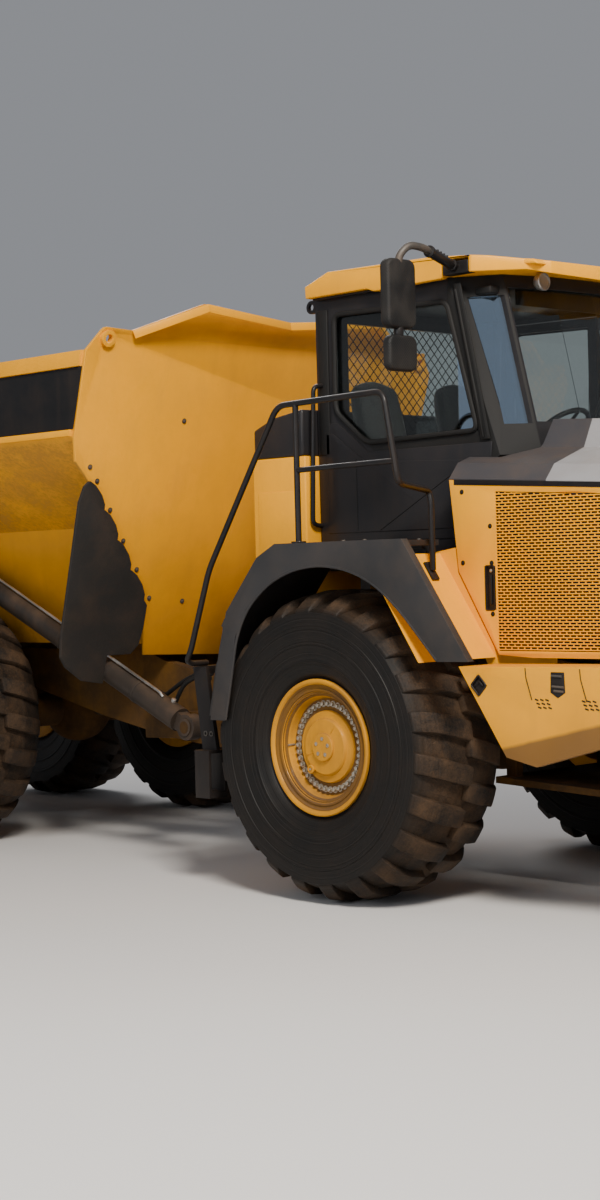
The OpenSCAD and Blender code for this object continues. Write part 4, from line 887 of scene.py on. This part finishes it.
class TRUCK_OT_bin(TruckStep, bpy.types.Operator):
    """Adds the bin with its rounded edges, its black band and its bolted front wall"""
    bl_idname = "truck.bin"
    bl_label = "Bin"

    def build(self, sizes):
        parts = finish_with("bin", dressed("bin_shell", 0.008, 2, 20.0))
        face = 1.685
        front = lambda z: wall_x(z) - 0.018
        band = plate([(-5.0, 2.953), (front(2.953), 2.953), (front(3.362), 3.362), (-1.421, 3.362),
                (-5.0, 3.035)],
                     face - 0.001, face + 0.0035, bevel=0.001)
        parts += paired("black", band)
        piece("bin_body", "bin", parts, ("bin_shell",))
        wall = finish_with("bin", dressed("bin_headboard", 0.006, 2, 25.0))
        spots = [(1.433, 2.614), (1.284, 2.420), (1.128, 2.209), (0.968, 2.009), (0.814, 1.806), (1.511, 2.706),
                (0.743, 3.035), (0.500, 1.776)]
        heads = bolts([(wall_x(z), s * y, z) for y, z in spots for _, s in SIDES], WALL_OUT, 0.013, 0.012)
        wall += finish_with("iron", heads)
        corners = [Vector((wall_x(z) + out, y, z)) for out, y,
                z in ((0.02, 1.330, 3.600), (0.182, 0.845, 3.790), (0.130, 0.0, 3.728))]
        for start, end in zip(corners, corners[1:]):
            wall += paired("yellow", flange(start, end))
        wall += finish_with("bin", dressed("lifting_eyes", 0.006, 3))
        piece("bin_front_wall", "bin", wall, ("bin_headboard", "lifting_eyes"))


class TRUCK_OT_flaps(TruckStep, bpy.types.Operator):
    """Adds the two scalloped rubber flaps that hang from the bin's front wall"""
    bl_idname = "truck.flaps"
    bl_label = "Bin flaps"

    def build(self, sizes):
        flap = finish_with("flap", dressed("guard_flaps", 0.006, 3, 30.0))
        piece("bin_flaps", "bin", flap, ("guard_flaps",))


SIDE_WINDOW = [(1.985, 3.583), (2.937, 3.560), (3.159, 2.773), (2.246, 2.756), (1.981, 2.969)]
DOOR_WINDOW = [(2.012, 3.560), (2.662, 3.545), (2.662, 2.770), (2.246, 2.760), (2.012, 2.969)]
FRONT_PANE = [(2.807, 3.560), (2.937, 3.555), (3.159, 2.773), (2.807, 2.768)]


class TRUCK_OT_cab(TruckStep, bpy.types.Operator):
    """Adds the cab's shell, door, roof, window seals, wiper and visor"""
    bl_idname = "truck.cab"
    bl_label = "Cab"

    def build(self, sizes):
        parts = finish_with("charcoal", dressed("cab_shell", 0.008, 2, 25.0))
        spot_finish(parts[0], "seal", lambda c: c.x > 2.95 and c.z > 2.45 and abs(c.y) > 0.62 and abs(c.y)
                + 0.35 * c.x > 1.93)
        y = -0.8815
        for outline, side in ((SIDE_WINDOW, y), (FRONT_PANE, -y)):
            parts += finish_with("seal", tube([(x, side, z) for x, z in outline], 0.017, 0.06, True))
        panel = plate([(1.835, 2.14), (3.02, 2.14), (3.10, 2.45), (3.26, 2.60), (3.27, 2.70), (2.26, 2.70),
                (1.99, 2.90), (1.835, 2.90)],
                      -0.888, -0.879, bevel=0.007, segments=3)
        inset = plate([(1.90, 2.20), (2.95, 2.20), (3.04, 2.50), (3.15, 2.60), (2.24, 2.64), (1.96, 2.83),
                (1.90, 2.83)],
                      -0.893, -0.886, bevel=0.006, segments=3)
        parts += finish_with("charcoal", panel, inset)
        # dark lines on the lower panel: painted shade of its creases
        crease_shade = [tube([(2.16, -0.8935, 2.66), (2.16, -0.8935, 2.21)], 0.003, 0.01),
                tube([(2.95, -0.8935, 2.52), (2.36, -0.8935, 2.21)], 0.003, 0.01)]
        parts += finish_with("seal", *crease_shade)
        posts = []
        for side in (-1, 1):
            posts.append(plate([(3.005, 3.655), (3.060, 3.655), (3.262, 2.715), (3.190, 2.715)], side * 0.884,
                    side * 0.896, bevel=0.004))
            posts.append(tube([(3.020, side * 0.893, 3.62), (3.120, side * 0.893, 3.16),
                    (3.215, side * 0.893, 2.73)], 0.010, 0.3))
            posts.append(tube([(3.052, side * 0.890, 3.62), (3.245, side * 0.890, 2.73)], 0.008, 0.1))
            posts.append(block((1.842, side * 0.878, 2.70), (1.930, side * 0.893, 3.62), 0.005))
            posts.append(block((3.10, side * 0.72 - 0.09, 3.583), (3.22, side * 0.72 + 0.09, 3.627), 0.010, 3))
        parts += finish_with("seal", *posts)
        wiper = [tube([(3.44, -0.10, 2.70), (3.40, -0.12, 2.78), (3.31, 0.22, 3.18)], 0.008, 0.02),
                 tube([(3.335, 0.10, 2.86), (3.265, 0.26, 3.42)], 0.007, 0.01)]
        band = block((3.20, -0.56, 3.53), (3.215, 0.56, 3.64), 0.003)
        parts += finish_with("black", *wiper, band)
        piece("cab_body", "front_frame", parts, ("cab_shell",))
        door = finish_with("charcoal", dressed("cab_door", 0.006, 2, 25.0))
        door += finish_with("seal", tube([(x, 0.8815, z) for x, z in DOOR_WINDOW], 0.012, 0.05, True))
        plate_in = plate([(1.985, 2.19), (2.69, 2.19), (2.69, 2.68), (2.26, 2.69), (1.985, 2.88)], 0.879, 0.889,
                bevel=0.006, segments=3)
        door += finish_with("charcoal", plate_in)
        door += finish_with("black", tube([(2.60, 0.889, 2.62), (2.60, 0.935, 2.60), (2.60, 0.935, 2.46),
                (2.60, 0.889, 2.44)], 0.010, 0.02))
        piece("cab_door_panel", "door", door, ("cab_door",))
        self.roof()
        self.guard()

    def roof(self):
        """Roof with a soft edge, stepped front ribs and a gutter"""
        parts = finish_with("yellow", dressed("cab_roof", 0.020, 3, 12.0))
        for y in (-0.66, -0.33, 0.0, 0.33, 0.66):
            rib = plate([(2.93, 3.800), (3.12, 3.812), (3.505, 3.754), (3.53, 3.722), (2.95, 3.770)], y - 0.085,
                    y + 0.085,
                        bevel=0.014, segments=3)
            parts += finish_with("yellow", rib)
        parts += paired("black", tube([(1.83, -0.905, 3.694), (2.955, -0.905, 3.690)], 0.008))
        piece("roof_cap", "front_frame", parts, ("cab_roof",))

    def guard(self):
        """Diagonal wire mesh over the rear window"""
        x, parts = 1.803, []
        low, high, half = 2.78, 3.60, 0.60
        for sign in (-1, 1):
            for k in range(-9, 25):
                ya = -half + k * 0.075
                yb, za, zb = ya + (high - low), low, high
                if ya < -half:
                    za, ya = za + (-half - ya), -half
                if yb > half:
                    zb, yb = zb - (yb - half), half
                if zb - za > 0.03:
                    parts.append(rod((x, sign * ya, za), (x, sign * yb, zb), 0.0035, 6))
        edge = tube([(x, -half, low), (x, half, low), (x, half, high), (x, -half, high)], 0.009, 0.03, True)
        feet = [rod((x, y, z), (1.8167, y, z), 0.008, 10) for y in (-0.56, 0.56) for z in (low, high)]
        piece("rear_window_mesh", "front_frame", finish_with("black", *parts, edge, *feet),
                ("window_guard",))


class TRUCK_OT_mudguards(TruckStep, bpy.types.Operator):
    """Adds the moulded mudguards with their rolled lip and bolts"""
    bl_idname = "truck.mudguards"
    bl_label = "Mudguards"

    def build(self, sizes):
        parts = finish_with("guard", dressed("mudguards", 0.010, 3, 25.0))
        arch = [(-0.724, 1.07), (-0.664, 1.333), (-0.609, 1.577), (-0.505, 1.751), (-0.324, 1.894),
                (-0.116, 1.974), (0.102, 1.999), (0.298, 1.977), (0.457, 1.929), (0.612, 1.846), (0.763, 1.722),
                (1.020, 1.455)]
        roll = tube([(FA + dx, 1.736, z) for dx, z in arch], 0.0095, 0.10, steps=4)
        heads = bolts([(FA + dx, y, 2.132) for y in (1.66, 1.20) for dx in (-0.15, 0.25, 0.42)], (0, 0, 1),
                0.012, 0.008)
        parts += paired("guard", roll) + paired("iron", *heads)
        piece("mudguard_pair", "front_frame", parts, ("mudguards",))


class TRUCK_OT_rails(TruckStep, bpy.types.Operator):
    """Adds the bent handrails, their feet and the grab handles"""
    bl_idname = "truck.rails"
    bl_label = "Handrails"

    def build(self, sizes):
        r = sizes.rail_radius
        main = tube([(1.407, 1.520, 1.404), (1.419, 1.660, 1.405), (1.422, 1.700, 1.426), (1.463, 1.700, 1.490),
                     (1.653, 1.700, 1.988), (2.301, 1.700, 2.950), (3.169, 1.700, 2.967), (3.258, 1.690, 2.445),
                     (3.077, 1.240, 2.415), (3.097, 1.240, 2.350), (3.097, 1.240, 1.952)],
                    r, 0.07, sides=4)
        post = tube([(2.456, 1.700, 2.136), (2.456, 1.700, 2.948)], r, sides=4)
        middle = tube([(2.456, 1.700, 2.560), (2.837, 1.700, 2.566), (3.235, 1.698, 2.571)], r * 0.9, sides=4)
        grab = tube([(1.872, 0.882, 3.145), (1.872, 0.970, 3.135), (1.838, 0.970, 2.262),
                (1.838, 0.882, 2.252)], r * 0.8, 0.05, sides=4)
        foot = rod((2.456, 1.700, 2.1325), (2.456, 1.700, 2.142), 0.045, 20, bevel=0.003)
        clamp = block((-0.095, -0.030, 0.0005), (0.030, 0.030, 0.016), 0.005)
        moved(clamp, Matrix.Translation((3.097, 1.240, 1.915)) @ Matrix.Rotation(math.radians(56.03), 4, "Y"))
        piece("handrail_pair", "front_frame",
                paired("black", main, post, middle, grab, foot, clamp), ("handrails",))


class TRUCK_OT_mirrors(TruckStep, bpy.types.Operator):
    """Adds the mirror arms with their shells and glasses"""
    bl_idname = "truck.mirrors"
    bl_label = "Mirrors"

    def build(self, sizes):
        foot = Vector((FA + 0.52, 0.935, 3.745))
        bend = Vector((FA + 0.620, 1.330, 3.812))
        run = (bend - foot).normalized()
        arm = tube([foot + run * 0.30, bend, (FA + 0.615, 1.440, 3.815), (FA + 0.590, 1.500, 3.750),
                (FA + 0.575, 1.500, 3.120)],
                   0.0225, 0.07, sides=4)
        sleeve = rod(foot - run * 0.01, foot + run * 0.335, 0.030, 24, bevel=0.004)
        collar = [rod(foot + run * d, foot + run * (d + 0.022), 0.036, 24, bevel=0.004) for d in (0.03, 0.31)]
        screws = [rod(foot + run * d + Vector((0, 0, 0.026)), foot + run * d + Vector((0, 0, 0.040)), 0.009, 6,
                bevel=0.001)
                  for d in (0.10, 0.14, 0.18, 0.22)]
        bracket = block((FA + 0.425, 0.866, 3.702), (FA + 0.632, 0.944, 3.780), 0.010, 3)
        knuckle = rod((FA + 0.47, 0.905, 3.742), (FA + 0.57, 0.905, 3.742), 0.043, 24, bevel=0.005)
        neck = rod((FA + 0.578, 1.500, 3.285), (FA + 0.578, 1.500, 3.35), 0.029, 20, bevel=0.003)
        parts = paired("iron", arm) + paired("black", sleeve, *collar, *screws, bracket, knuckle, neck)
        heads = ((FA + 0.532, 1.374, 1.610, 3.337, 3.734), (FA + 0.542, 1.374, 1.610, 3.093, 3.299))
        for back, near, far, low, high in heads:
            case = self.tablet((back + 0.004, near, low), (FA + 0.611, far, high), 0.050, 6)
            parts += paired("shell", rounded(case, 0.020, 4, 50.0))
            rim = 0.022
            parts += paired("mirror", self.tablet((back, near + rim, low + rim),
                    (back + 0.008, far - rim, high - rim), 0.034, 5))
        piece("mirror_pair", "front_frame", parts, ("mirrors",))

    def tablet(self, low, high, corner, segments):
        """Box whose four edges along X are rounded"""
        obj = block(low, high)
        edit(obj, lambda edge: abs((edge.verts[0].co - edge.verts[1].co).x) > 0.004, "EDGE")
        bpy.ops.mesh.bevel(offset=corner, segments=segments, affect="EDGES")
        leave()
        return obj


class TRUCK_OT_lamps(TruckStep, bpy.types.Operator):
    """Adds the headlamps and roof lamps"""
    bl_idname = "truck.lamps"
    bl_label = "Lamps"

    def build(self, sizes):
        body = block((FRONT_X - 0.024, 0.701, 1.291), (FRONT_X - 0.010, 1.049, 1.389), 0.006)
        cover = block((FRONT_X - 0.009, 0.704, 1.294), (FRONT_X - 0.001, 1.046, 1.386), 0.004, 3)
        parts = paired("steel", body) + paired("lens", cover)
        for y in (0.79, 0.96):
            bowl = spun([(0.0, 0.0), (0.012, 0.0005), (0.03, 0.003), (0.036, 0.007), (0.038, 0.007),
                    (0.038, 0.0)], 32)
            moved(bowl, Matrix.Rotation(-math.pi / 2, 4, "Z"), Matrix.Translation((FRONT_X - 0.0168, y, 1.34)))
            parts += paired("chrome", bowl)
        piece("headlamp_pair", "front_frame", parts, ("headlamps",))
        lamps = []
        for y in (-0.56, 0.56):
            case = spun([(0.0, 0.0), (0.030, 0.0), (0.046, 0.016), (0.054, 0.040), (0.055, 0.060),
                         (0.052, 0.064), (0.048, 0.064), (0.047, 0.056), (0.0, 0.052)], 40)
            glass = spun([(0.0, 0.061), (0.030, 0.0605), (0.0465, 0.0575), (0.0465, 0.0565), (0.0, 0.0565)], 40)
            for obj in (case, glass):
                moved(obj, Matrix.Rotation(-math.pi / 2, 4, "Z"), Matrix.Translation((FA + 0.8305, y, 3.645)))
            lamps += finish_with("steel", case) + finish_with("lens", glass)
        piece("roof_lamps", "front_frame", lamps, ("work_lamps",))


class TRUCK_OT_bumper(TruckStep, bpy.types.Operator):
    """Adds the bumper with its tie-downs, black sheets of painted shade for its step holes and recesses, and
    painted shade along its folded lower edge
    """
    bl_idname = "truck.bumper"
    bl_label = "Bumper"

    def build(self, sizes):
        parts = finish_with("bumper", dressed("bumper", 0.012, 3, 25.0))
        y = 1.430
        # black sheet at the back of the tie-down recess: painted shade
        base = plate([(3.532, 1.302), (3.590, 1.362), (3.648, 1.302), (3.590, 1.242)], y - 0.012, y - 0.008)
        ring = tube([(3.590 + dx, y + 0.002, 1.302 + dz) for dx,
                dz in ((-0.056, 0), (0, 0.058), (0.056, 0), (0, -0.058))], 0.0055,
                    0.012, True)
        eye = tube([(3.564, y - 0.007, 1.302), (3.590, y - 0.003, 1.330), (3.616, y - 0.007, 1.302)], 0.008,
                0.02)
        # black sheet in the pocket behind the bars: painted shade of the recess
        pocket = plate([(4.105, 1.385), (4.195, 1.385), (4.20, 1.275), (4.150, 1.245), (4.100, 1.275)],
                y - 0.001, y + 0.003, bevel=0.001)
        bars = [rod((x - half, y + 0.004, z), (x + half, y + 0.004, z - 0.004), 0.0065, 12)
                for x, z, half in ((4.146, 1.366, 0.036), (4.153, 1.308, 0.040), (4.158, 1.284, 0.032))]
        dark = [base, pocket, ring, eye]
        # rows of black sheets for the step holes: painted shade of the holes
        for x0 in (3.99, 4.31, 4.63, 4.95):
            for k in range(9):
                x, z = x0 + 0.036 * (k % 3) + 0.010 * (k // 3), 1.240 - 0.021 * (k // 3)
                dark.append(plate([(x, z), (x + 0.024, z - 0.006), (x + 0.024, z - 0.015), (x, z - 0.009)],
                        y - 0.001, y + 0.0012))
        parts += paired("black", *dark) + paired("iron", *bars)
        seams = [tube([(x, y + 0.0005, 1.405), (x + 0.005, y + 0.0005, 1.35), (x + 0.043, y + 0.0005, 1.23)],
                0.003, 0.01)
                 for x in (3.926, 4.30, 4.86)]
        parts += paired("seal", *seams)
        piece("bumper_wrap", "front_frame", parts, ("bumper",))


class TRUCK_OT_cylinders(TruckStep, bpy.types.Operator):
    """Adds the pipes, glands and ports of the hoist cylinders"""
    bl_idname = "truck.cylinders"
    bl_label = "Hoist fittings"

    def build(self, sizes):
        low, top = Vector((0.661, 1.03, 0.932)), Vector((-2.25, 1.03, 2.207))
        run = (top - low).normalized()
        up = Vector((run.z, 0, -run.x))
        at = lambda along, out, y=0.0: low + run * along + up * out + Vector((0, y, 0))
        end = 2.86
        for side, sign in SIDES:
            pipe = tube([at(0.30, 0.086, 0.03), at(0.34, 0.104, 0.03), at(end - 0.20, 0.104, 0.03),
                    at(end - 0.14, 0.088, 0.03)], 0.010, 0.03)
            bands = [rod(at(d, 0), at(d + 0.03, 0), 0.0895, 40, bevel=0.002) for d in (0.55, 1.45, 2.35)]
            ports = [rod(at(d, 0.080), at(d, 0.108), 0.018, 6, bevel=0.002) for d in (0.22, end - 0.05)]
            nuts = rod(low + Vector((0, 0.05, 0)), low + Vector((0, 0.0555, 0)), 0.060, 32, bevel=0.002)
            parts = finish_with("hoist", bands, nuts) + finish_with("steel", pipe, *ports)
            if sign < 0:
                for obj in parts:
                    obj.data.transform(Matrix.Scale(-1, 4, (0, 1, 0)))
                    obj.data.flip_normals()
            piece("hoist_fittings_" + side, "hoist_barrel_" + side, parts)


def pad(low, high, crown, lean=0.0, about=(0, 0, 0)):
    """Crowned cushion whose sides pull in between its corners"""
    low, high = Vector(low), Vector(high)
    bpy.ops.mesh.primitive_cube_add(size=2.0, location=(0, 0, 0))
    obj = bpy.context.object
    edit(obj)
    bpy.ops.mesh.subdivide(number_cuts=7)
    leave()
    half, middle = (high - low) / 2, (high + low) / 2
    for vert in obj.data.vertices:
        x, y, z = vert.co
        ring = max(abs(x), abs(y), abs(z))
        softer = Vector((x, y, z)) * (ring / Vector((x, y, z)).length) ** 0.45
        swell = 1 + crown * (1 - softer.x ** 2) * (1 - softer.y ** 2) * (1 if z > 0 else 0)
        channel = 0.03 * math.cos(softer.y * math.pi * 2.5) ** 8 if z > 0.5 else 0.0
        vert.co = Vector((softer.x * half.x, softer.y * half.y, (softer.z * swell - channel) * half.z)) + middle
    moved(obj, Matrix.Translation(about) @ Matrix.Rotation(math.radians(lean), 4,
            "Y") @ Matrix.Translation(-Vector(about)))
    mod = obj.modifiers.new("Soften", "SUBSURF")
    mod.levels = mod.render_levels = 1
    only(obj)
    bpy.ops.object.modifier_apply(modifier=mod.name)
    return outward(obj)


class TRUCK_OT_seats(TruckStep, bpy.types.Operator):
    """Adds the two padded seats, their frames and the steering wheel"""
    bl_idname = "truck.seats"
    bl_label = "Seats"

    def build(self, sizes):
        floor = 2.0653
        frames = []
        for tag, x, y in (("driver", FA - 0.06, 0.13), ("guest", FA - 0.19, -0.52)):
            base = block((x - 0.16, y - 0.15, floor + 0.001), (x + 0.16, y + 0.15, floor + 0.325), 0.02, 3)
            pan = block((x - 0.235, y - 0.225, floor + 0.32), (x + 0.235, y + 0.225, floor + 0.35), 0.012, 3)
            frames += finish_with("dark", base, pan)
            cushion = pad((x - 0.235, y - 0.235, floor + 0.345), (x + 0.245, y + 0.235, floor + 0.455), 0.18)
            back = pad((-0.23, -0.22, 0.0), (0.23, 0.22, 0.11), 0.3)
            moved(back, Matrix.Scale(1.45, 4, (1, 0, 0)), Matrix.Rotation(math.radians(-102), 4, "Y"),
                  Matrix.Translation((x - 0.265, y, floor + 0.80)))
            for name, obj, fill in (("cushion", cushion, 0.8), ("back", back, 0.75)):
                soft = piece(f"seat_{name}_{tag}", "front_frame", finish_with("cloth", obj))
        piece("seat_frames", "front_frame", frames, ("seats",))
        wheel = finish_with("dark", self.wheel())
        piece("steering_wheel_rim", "front_frame", wheel, ("steering_wheel",))

    def wheel(self):
        """Steering wheel with three dished spokes"""
        bpy.ops.mesh.primitive_torus_add(major_radius=0.205, minor_radius=0.0165, major_segments=64,
                minor_segments=14)
        parts = [bpy.context.object]
        for k in range(3):
            a = math.tau * k / 3
            parts.append(tube([(0.03 * math.cos(a), 0.03 * math.sin(a), 0.004),
                               (0.11 * math.cos(a), 0.11 * math.sin(a), -0.006),
                               (0.20 * math.cos(a), 0.20 * math.sin(a), 0.0)], 0.011, 0.05))
        parts.append(rod((0, 0, -0.0135), (0, 0, 0.018), 0.049, 32, bevel=0.005))
        lean = math.atan2(0.12, 0.15)
        place = Matrix.Translation((FA + 0.44, 0.13, 2.79)) @ Matrix.Rotation(-lean, 4,
                "Y") @ Matrix.Translation((0, 0, 0.0143))
        for obj in parts:
            settle(obj)
            obj.data.transform(place)
        return parts


PLAIN_NODES = {
    "frame": ("towing_eyes",),
    # the rear frame finish carries painted shade for the frames and axles under the truck
    "rear": ("front_chassis", "belly_guard", "front_axle", "rear_axles", "rear_chassis", "towing_jaw"),
    "yellow": ("front_panels",),
    "under": ("front_suspension", "hitch_head", "walking_beams", "drive_shafts", "cab_deck"),
    "hoist": ("hoist_barrel_left", "hoist_barrel_right", "steer_barrel_left", "steer_barrel_right"),
    "iron": ("engine_block",),
    "black": ("radiator",),
    "dark": ("console",),
    "glass": ("cab_glass", "door_glass"),
    "chrome": ("hoist_rod_left", "hoist_rod_right", "steer_rod_left", "steer_rod_right"),
}


class TRUCK_OT_solids(TruckStep, bpy.types.Operator):
    """Paints the solids that stay, and adds the service boxes, intake cowl, steps with their bolts, and hoses
    """
    bl_idname = "truck.solids"
    bl_label = "Frames and running gear"

    def build(self, sizes):
        for material, names in PLAIN_NODES.items():
            for name in names:
                for entry in NODES[name].material_slots:
                    entry.material = MATERIALS[material]
        self.boxes()
        self.pipes()

    def pipes(self):
        """Hydraulic hoses that show between the bin and the front frame"""
        routes = [((0.20, -0.900, 1.143), (0.264, -0.900, 1.131), (0.46, -0.90, 1.235), (0.60, -0.90, 1.285),
                   (0.70, -0.88, 1.290)),
                  ((0.366, -0.93, 1.02), (0.42, -0.93, 1.12), (0.50, -0.93, 1.22), (0.62, -0.91, 1.270),
                   (0.70, -0.90, 1.255))]
        for number, route in enumerate(routes):
            start, end = Vector(route[0]), Vector(route[-1])
            lines = [tube(route, 0.015, 0.08), rod(end, end + Vector((0.03, 0, 0)), 0.021, 6, bevel=0.002),
                     rod(start, start - Vector((0.02, 0, -0.01)), 0.022, 6, bevel=0.002)]
            piece(f"hoist_hose_{number + 1}", "rear_frame", paired("seal", *lines))

    def boxes(self):
        """Rounded service boxes and cowl behind the cab, with doors and louvres"""
        parts = finish_with("yellow", dressed("service_box", 0.012, 3))
        for side in (-1, 1):
            parts += finish_with("yellow",
                    block((1.37, side * 1.0 - 0.004, 2.06), (1.75, side * 1.0 + 0.004, 2.48), 0.003))
        piece("service_boxes", "front_frame", parts, ("service_box",))
        cowl = finish_with("charcoal", dressed("air_cowl", 0.018, 3))
        slat = block((1.3315, -0.8, 0.0), (1.341, 0.8, 0.012), 0.002)
        cowl += finish_with("black", copied(slat,
                [Matrix.Translation((0, 0, 2.73 + 0.03 * k)) for k in range(5)]))
        piece("intake_cowl", "front_frame", cowl, ("air_cowl",))
        steps = finish_with("black", dressed("access_steps", 0.009, 3))
        heads = bolts([(x, s * y, z) for x, y, z in ((1.447, 1.5805, 0.960), (1.500, 1.5805, 0.960)) for _,
                s in SIDES], (0, 1, 0),
                      0.012, 0.006)
        steps += finish_with("iron", heads)
        piece("step_pair", "front_frame", steps, ("access_steps",))


class TRUCK_OT_stage(TruckStep, bpy.types.Operator):
    """Adds the pale floor, the soft lights and the camera"""
    bl_idname = "truck.stage"
    bl_label = "Stage"

    def build(self, sizes):
        bpy.ops.mesh.primitive_plane_add(size=160.0, location=(0, 0, -0.002))
        floor = bpy.context.object
        floor.name = "studio_floor"
        shade = Shade("Pale floor")
        floor.data.materials.append(shade.finish(shade.mix(shade.noise(0.6, 3.0) * 0.1, (0.62, 0.61, 0.60),
                (0.52, 0.51, 0.50)), 0.9))
        world = bpy.data.worlds.new("Studio")
        bpy.context.scene.world = world
        world.use_nodes = True
        world.node_tree.nodes["Background"].inputs["Color"].default_value = (0.90, 0.93, 1.0, 1.0)
        world.node_tree.nodes["Background"].inputs["Strength"].default_value = 0.30
        for name, place, aim, size, power, tint in (
                ("Key", (11.5, -7.5, 11.5), (2.5, -0.5, 1.8), 3.5, 3400.0, (1.0, 0.93, 0.84)),
                ("Fill", (4.4, -15.0, 6.0), (0.0, 0.0, 1.8), 7.0, 550.0, (0.92, 0.96, 1.0)),
                ("Back", (-11.0, 7.0, 12.5), (0.0, 0.0, 2.0), 8.0, 1480.0, (1.0, 1.0, 1.0))):
            lamp = bpy.data.lights.new(name, "AREA")
            lamp.energy = power
            lamp.size = size
            lamp.color = tint
            obj = bpy.data.objects.new(name, lamp)
            bpy.context.collection.objects.link(obj)
            obj.location = place
            obj.rotation_euler = (Vector(aim) - Vector(place)).to_track_quat("-Z", "Y").to_euler()
        self.camera()

    def camera(self):
        """Camera at the photograph's place, found by fitting the wheels and the straight edges"""
        turn, rise, roll = 0.800836, -0.0136565, -0.026288
        ahead = Vector((-math.sin(turn) * math.cos(rise), math.cos(turn) * math.cos(rise), math.sin(rise)))
        right = Vector((math.cos(turn), math.sin(turn), 0.0))
        up = right.cross(ahead)
        side = math.cos(roll) * right + math.sin(roll) * up
        top = math.cos(roll) * up - math.sin(roll) * right
        view = bpy.data.cameras.new("Photo view")
        view.lens = 2001.06 / 1200 * 36.0
        view.sensor_width = 36.0
        obj = bpy.data.objects.new("Photo view", view)
        bpy.context.collection.objects.link(obj)
        turned = Matrix((side, top, -ahead)).transposed().to_4x4()
        obj.matrix_world = Matrix.Translation((10.91809, -9.9072, 1.957267)) @ turned
        bpy.context.scene.camera = obj


STEPS = (TRUCK_OT_stage, TRUCK_OT_solids, TRUCK_OT_tyres, TRUCK_OT_rims, TRUCK_OT_hood, TRUCK_OT_bin,
        TRUCK_OT_flaps,
         TRUCK_OT_cab, TRUCK_OT_mudguards, TRUCK_OT_rails, TRUCK_OT_mirrors, TRUCK_OT_lamps, TRUCK_OT_bumper,
         TRUCK_OT_cylinders, TRUCK_OT_seats)


class TRUCK_PT_panel(bpy.types.Panel):
    """Lists the sizes, colours and steps of the dressing"""
    bl_label = "Dump truck"
    bl_space_type = "VIEW_3D"
    bl_region_type = "UI"
    bl_category = "Truck"

    def draw(self, context):
        for group in (context.scene.truck_sizes, context.scene.truck_colours):
            for name in group.__annotations__:
                self.layout.prop(group, name)
        for step in STEPS:
            self.layout.operator(step.bl_idname)


CLASSES = (TruckSizes, TruckColours, *STEPS, TRUCK_PT_panel)


def register():
    for item in CLASSES:
        bpy.utils.register_class(item)
    bpy.types.Scene.truck_sizes = PointerProperty(type=TruckSizes)
    bpy.types.Scene.truck_colours = PointerProperty(type=TruckColours)


def unregister():
    del bpy.types.Scene.truck_colours
    del bpy.types.Scene.truck_sizes
    for item in reversed(CLASSES):
        bpy.utils.unregister_class(item)


def main():
    register()
    stir_paints(bpy.context.scene.truck_colours)
    for step in STEPS:
        group, name = step.bl_idname.split(".")
        getattr(getattr(bpy.ops, group), name)()
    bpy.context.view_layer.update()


if __name__ == "__main__":
    main()
